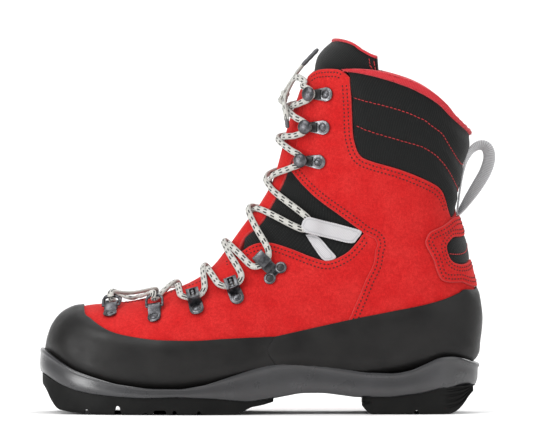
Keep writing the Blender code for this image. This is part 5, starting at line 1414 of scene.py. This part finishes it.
def make_hardware():
    """All the metal fittings; returns their frames, which the lace runs by."""
    frames = {}
    for name, sign in SIDES:
        for i, spots in enumerate(RING_CLIPS):
            frames[("ring", i), sign] = spot_frame = frame_at(spots, sign)
            clip = make_ring_clip(f"{name}_clip_{i + 1}", spot_frame)
            riding(clip, "foot", "dark_metal", f"{name}_ring_clip_{i + 1}")
            ring = make_d_ring(f"{name}_ring_{i + 1}", spot_frame)
            riding(ring, f"{name}_d_ring_{i + 1}", "dark_metal", f"{name}_d_ring_{i + 1}")
        for i, spots in enumerate(PULLEYS):
            frames[("pulley", i), sign] = spot_frame = frame_at(spots, sign)
            bridge = make_pulley_frame(f"{name}_pulley_{i + 1}", spot_frame)
            riding(bridge, "foot", "dark_metal", f"{name}_pulley_frame_{i + 1}")
            roller = make_roller(f"{name}_roller_{i + 1}", spot_frame)
            riding(roller, f"{name}_pulley_roller_{i + 1}", "dark_metal", f"{name}_pulley_roller_{i + 1}")
        frames[("lock", 0), sign] = spot_frame = frame_at(LOCK_HOOK, sign)
        riding(make_lock_hook(f"{name}_lock", spot_frame), "foot", "dark_metal", f"{name}_lock_hook")
        frames[("strap", 0), sign] = frame_at(((23.0, 128.5), (18.0, 131.5)), sign)
        for i, spots in enumerate(HOOKS):
            frames[("hook", i), sign] = spot_frame = frame_at(spots, sign)
            hook = make_hook(f"{name}_speed_hook_{i + 1}", spot_frame)
            riding(hook, "cuff", "dark_metal", f"{name}_hook_{i + 1}")
    return frames


# ---------------------------------------------------------------- lace and pull loop

LACE_RADIUS = 1.7  # the CAD lace's; the braid here is a little wider and flatter
LACE_HALF_WIDTH, LACE_HALF_THICK = 2.2, 1.25
NECK_BEND = 3.0  # from a hook's neck to the lace's centre

# Where the two halves of the lace cross on the tongue (t), and the fitting that each goes to next.
LACE_STOPS = ((6.1, ("ring", 1)), (7.85, ("pulley", 0)), (9.4, ("pulley", 1)), (10.75, ("lock", 0)),
              (12.5, ("strap", 0)), (14.35, ("hook", 0)), (17.6, ("hook", 1)), (19.4, ("hook", 2)))

# Where each end runs after the top hook (t, v, height): a loop, the knot and a tail.
LACE_ENDS = (((21.1, 0.56, 3.4), (21.12, 0.32, 3.4), (20.95, 0.12, 4.6), (20.4, 0.10, 5.6), (20.0, 0.20, 6.8),
              (19.65, 0.27, 7.1), (19.3, 0.42, 7.1), (19.1, 0.48, 6.9), (18.95, 0.49, 6.4)),
             ((21.1, -0.56, 3.4), (21.12, -0.32, 3.4), (20.95, -0.14, 4.6), (20.4, -0.04, 7.0),
              (19.95, -0.02, 7.6), (20.0, -0.22, 7.6), (20.7, -0.28, 7.0), (21.4, -0.22, 4.6), (22.0, -0.17, 2.2)))
AGLETS = (((18.95, 0.49, 6.4), (18.55, 0.50, 4.4)), ((22.0, -0.17, 2.2), (23.6, -0.12, -2.9)))
KNOT = (19.85, 0.1, 7.0)


def lace_route(frames):
    """Places that the lace passes, from its lateral end down to the toe and up to its medial end."""
    radius = LACE_RADIUS

    def at(key, sign, ahead, up, out):
        return placed(frames[key, sign], (ahead, -sign * up, out))

    def through_ring(key, sign):
        far_x = CLIP_LENGTH + RING_REACH * math.cos(RING_RISE)
        far_z = BAR_HEIGHT + RING_REACH * math.sin(RING_RISE)
        bend = RING_WIRE + radius + 0.8
        turns = [math.radians(a) for a in (90, 135, 180, 225, 262)]
        return [at(key, sign, far_x + bend * math.cos(a), 0, far_z + bend * math.sin(a)) for a in turns]

    def across(key, sign, x, height, half, rise=1.0):
        return [at(key, sign, x + 4.0, -half * 1.8, height + rise), at(key, sign, x, -half * 0.55, height),
                at(key, sign, x, half * 0.55, height), at(key, sign, x + 4.0, half * 1.8, height + rise)]

    def round_neck(key, sign):
        turns = [math.radians(a) for a in (-110, -150, 180, 150, 110)]
        spots = [(HOOK_NECK + NECK_BEND * math.cos(a), NECK_BEND * math.sin(a), 3.3) for a in turns]
        return [at(key, sign, *spot) for spot in [(19.6, -6.0, 3.0)] + spots + [(19.6, 6.0, 3.0)]]

    def half_route(sign):
        route = list(reversed(through_ring(("ring", 0), sign)))
        over, here = sign > 0, sign
        for t, stop in LACE_STOPS:
            high, low = (4.2, 0.6) if stop == ("ring", 1) else (3.0, -0.5)
            route.append(Vector(on_skin(t, 0.0, high if over else low)))
            over, here = not over, -here
            if stop[0] == "ring":
                route += through_ring(stop, here)
            elif stop[0] == "pulley":
                route += across(stop, here, 8.7, 1.0 + radius + 0.3, 4.6)
            elif stop[0] == "lock":
                route += across(stop, here, 8.6, 1.2 + radius + 0.35, 4.4)
            elif stop[0] == "strap":
                spots = ((-2.5, -2.4, 0.0), (-5.8, 1.8, -0.2), (-2.6, 6.2, 0.0))
                route += [at(stop, here, *spot) for spot in spots]
            else:
                route += round_neck(stop, here)
        return route

    lateral_half, medial_half = half_route(1), half_route(-1)
    ends = [[Vector(on_skin(*spot)) for spot in end] for end in LACE_ENDS]
    return ends[0][::-1] + lateral_half[::-1] + medial_half + ends[1]


def lace_floor(t, v):
    """How high the lace's centre must stay: over the tongue, or over the leather beside it."""
    if 11.2 < t < 13.8 and abs(v) > 0.7:
        share = 0.2
    elif 9.6 < t < 15.6:
        share = (abs(v) - 0.12 * (t - 9.7)) / 0.34
    else:
        share = abs(v) / (0.12 + 0.055 * (t - 5.0) if t <= 9.6 else 0.45)
    return -0.7 + 2.5 * min(1.0, max(0.0, share))


def make_lace(frames):
    """The braided cord, with its knot and tips."""
    stops = np.array([tuple(p) for p in lace_route(frames)])
    route = []
    for i in range(len(stops) - 1):
        count = max(1, round(np.linalg.norm(stops[i + 1] - stops[i]) / 1.6))
        route += list(rows_at(stops, i + np.arange(count) / count))
    route.append(stops[-1])
    spots = [(4.5 + 0.1 * i, 0.04 * k) for i in range(183) for k in range(-38, 39)]
    surface, outs = skin(*np.array(spots).T), skin_normal(*np.array(spots).T)
    near = tree_of(surface)
    ups = []
    for i, spot in enumerate(route):
        k = near.find(spot)[1]
        height = outs[k] @ (spot - surface[k])
        route[i] = spot + outs[k] * max(0.0, lace_floor(*spots[k]) - height)
        ups.append(outs[k])
    route, ups = np.array(route), np.array(ups)
    for _ in range(3):
        route[1:-1] = (route[:-2] + 2 * route[1:-1] + route[2:]) / 4
    for key, spot_frame in frames.items():
        if key[0][0] == "hook":
            neck, axis = np.array(placed(spot_frame, (HOOK_NECK, 0, 0))), np.array(spot_frame[0].to_3x3().col[2])
            reach = route - neck
            reach -= np.outer(reach @ axis, axis)
            close = np.linalg.norm(reach, axis=1) < NECK_BEND + 1.2
            ups[close] = unit(reach[close])
    for _ in range(4):
        ups[1:-1] = unit(ups[:-2] + 2 * ups[1:-1] + ups[2:])
    ring = [(math.copysign(LACE_HALF_WIDTH * abs(x) ** 0.75, x), z) for x, z in oval(1.0, LACE_HALF_THICK, 16)]
    made = sweep("lace_cord", route, ring, LACE_BRAID, ups)
    flexing(made, "lace_fabric", "lace")
    make_knot()
    for (name, _), (first, last) in zip(SIDES, AGLETS):
        make_aglet(name, np.array(on_skin(*first)), np.array(on_skin(*last)))


def make_knot():
    """The overhand knot of the bow, pulled fairly tight."""
    centre, out = on_skin(*KNOT), skin_normal(*KNOT[:2])
    right = unit(np.cross(out, np.array((0.0, 0.0, 1.0))))
    up = np.cross(right, out)
    a = np.linspace(0, 2 * math.pi, 60, False)[:, None]
    route = centre + 1.25 * ((np.sin(a) + 2 * np.sin(2 * a)) * right + (np.cos(a) - 2 * np.cos(2 * a)) * up
                             - 1.5 * np.sin(3 * a) * out)
    knot = sweep("lace_knot", route, oval(1.7, 1.2, 12), LACE_BRAID, [out] * len(route), closed=True)
    riding(knot, "cuff", "lace_fabric")


def make_aglet(name, first, last):
    """The stiff tip of the lace: a crimped tube."""
    along = np.linspace(0.0, 1.0, 10)
    route = first + (last - first) * along[:, None]
    radii = [1.3, 1.5, 1.5, 1.35, 1.5, 1.5, 1.35, 1.5, 1.4, 0.9]
    section = [oval(r, r, 16) for r in radii]
    tip = sweep(f"{name}_aglet_tube", route, section, AGLET_GREY, [(0.0, -1.0, 0.1)] * len(route))
    riding(tip, "cuff", "stiffener", f"{name}_aglet")


def make_pull_loop():
    """Ribbed webbing, folded into a loop and a little twisted, so that its rear run shows its face."""
    stops = np.array(((129.4, 137.0), (130.6, 147.0), (132.0, 156.5), (133.9, 165.6), (136.0, 173.0),
                      (139.8, 179.2), (145.2, 182.0), (149.6, 180.0), (151.2, 173.6), (148.8, 164.6),
                      (143.4, 155.0), (137.2, 145.6), (131.8, 137.6), (129.6, 135.2)))
    twist = np.radians((0, 0, 0, 4, 14, 30, 44, 54, 58, 58, 54, 40, 20, 8))
    rows = np.column_stack([stops[:, 0], stops[:, 0] * 0, stops[:, 1], twist])
    rows = rows_at(np.vstack([rows, rows[:1]]), np.linspace(0, len(rows), 91)[:-1])
    route = rows[:, :3]
    ahead = unit(np.roll(route, -1, 0) - np.roll(route, 1, 0))
    flat_out = unit(np.cross(ahead, np.array((0.0, 1.0, 0.0))))
    ups = flat_out * np.cos(rows[:, 3:]) + np.array((0.0, 1.0, 0.0)) * np.sin(rows[:, 3:])
    half, thick = 4.6, 0.6
    upper = [(half, thick * 0.5), (half - 0.4, thick), (half * 0.33, thick)]
    upper += [(-x, z) for x, z in upper[::-1]]
    ring = [(half, -thick * 0.5)] + upper + [(x, -z) for x, z in upper[:0:-1]]
    made = sweep("pull_loop_webbing", route, ring, LOOP_GREY, ups, closed=True)
    riding(made, "pull_loop", "grey_webbing", "pull_loop")


# ---------------------------------------------------------------- stage

# Each lamp: name, place, size in metres, power in watts.
LAMPS = (("key", (-1.0, -1.3, 1.7), 1.3, 28.0), ("fill", (1.5, -1.2, 0.9), 1.5, 10.0),
         ("top", (0.1, 0.3, 2.0), 1.6, 18.0), ("rim", (1.1, 1.0, 1.0), 0.8, 9.0),
         ("toe", (-0.95, -0.68, 0.2), 0.4, 5.0))
WORLD_LIGHT = 0.56


def make_stage():
    """A white sweep, the lamps and the light of the room."""
    white = bpy.data.materials.new("studio_white")
    white.use_nodes = True
    shader = white.node_tree.nodes["Principled BSDF"]
    shader.inputs["Base Color"].default_value = (0.93, 0.93, 0.93, 1)
    shader.inputs["Roughness"].default_value = 0.85
    shader.inputs["Specular IOR Level"].default_value = 0.1
    # The sweep shows on the boot's side only, so that a camera behind its wall looks through it.
    nodes, links = white.node_tree.nodes, white.node_tree.links
    mix = nodes.new("ShaderNodeMixShader")
    links.new(nodes.new("ShaderNodeNewGeometry").outputs["Backfacing"], mix.inputs["Fac"])
    links.new(shader.outputs["BSDF"], mix.inputs[1])
    links.new(nodes.new("ShaderNodeBsdfTransparent").outputs["BSDF"], mix.inputs[2])
    links.new(mix.outputs["Shader"], nodes["Material Output"].inputs["Surface"])
    reach, width, start, bend, wall = 4.0, 4.0, 1.2, 0.8, 3.0  # metres
    section = [(-reach, 0.0), (start, 0.0)]
    turns = np.linspace(0.15, math.pi / 2, 12)
    section += [(start + bend * math.sin(a), bend - bend * math.cos(a)) for a in turns]
    section += [(start + bend, wall)]
    points = [(x / MM, y / MM, z / MM) for x in (-width, width) for y, z in section]
    count = len(section)
    faces = [(k, count + k, count + k + 1, k + 1) for k in range(count - 1)]
    floor = add_mesh("studio_sweep", points, faces, [white], smooth=60)
    world = bpy.data.worlds.new("studio_light")
    world.use_nodes = True
    world.node_tree.nodes["Background"].inputs["Color"].default_value = (1, 1, 1, 1)
    world.node_tree.nodes["Background"].inputs["Strength"].default_value = WORLD_LIGHT
    bpy.context.scene.world = world
    for name, spot, size, power in LAMPS:
        data = bpy.data.lights.new(name, "AREA")
        data.size, data.energy = size, power
        lamp = bpy.data.objects.new(name, data)
        bpy.context.scene.collection.objects.link(lamp)
        lamp.location = spot
        lamp.rotation_euler = (Vector((0, 0, 0.1)) - Vector(spot)).to_track_quat("-Z", "Y").to_euler()
    bpy.context.scene.view_settings.view_transform = "Standard"


def finish_hidden_nodes():
    """Stiffeners inside the boot keep their CAD shape."""
    for node, look in (("toe_puff", BLACK_POLYMER), ("heel_counter", BLACK_POLYMER), ("shank", BLACK_POLYMER),
                       ("lasting_board", BOARD_FIBRE)):
        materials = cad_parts[node].data.materials
        materials.clear()
        materials.append(look)


make_vamp()
make_rear_leather()
make_heel_patch()
make_collar()
make_tongue()
make_lining()
make_rand()
make_midsole()
make_outsole()
for side_name, side_sign in SIDES:
    make_gusset(side_name, side_sign)
    make_strap(side_name, side_sign)
make_lace(make_hardware())
make_pull_loop()
finish_hidden_nodes()
make_stage()
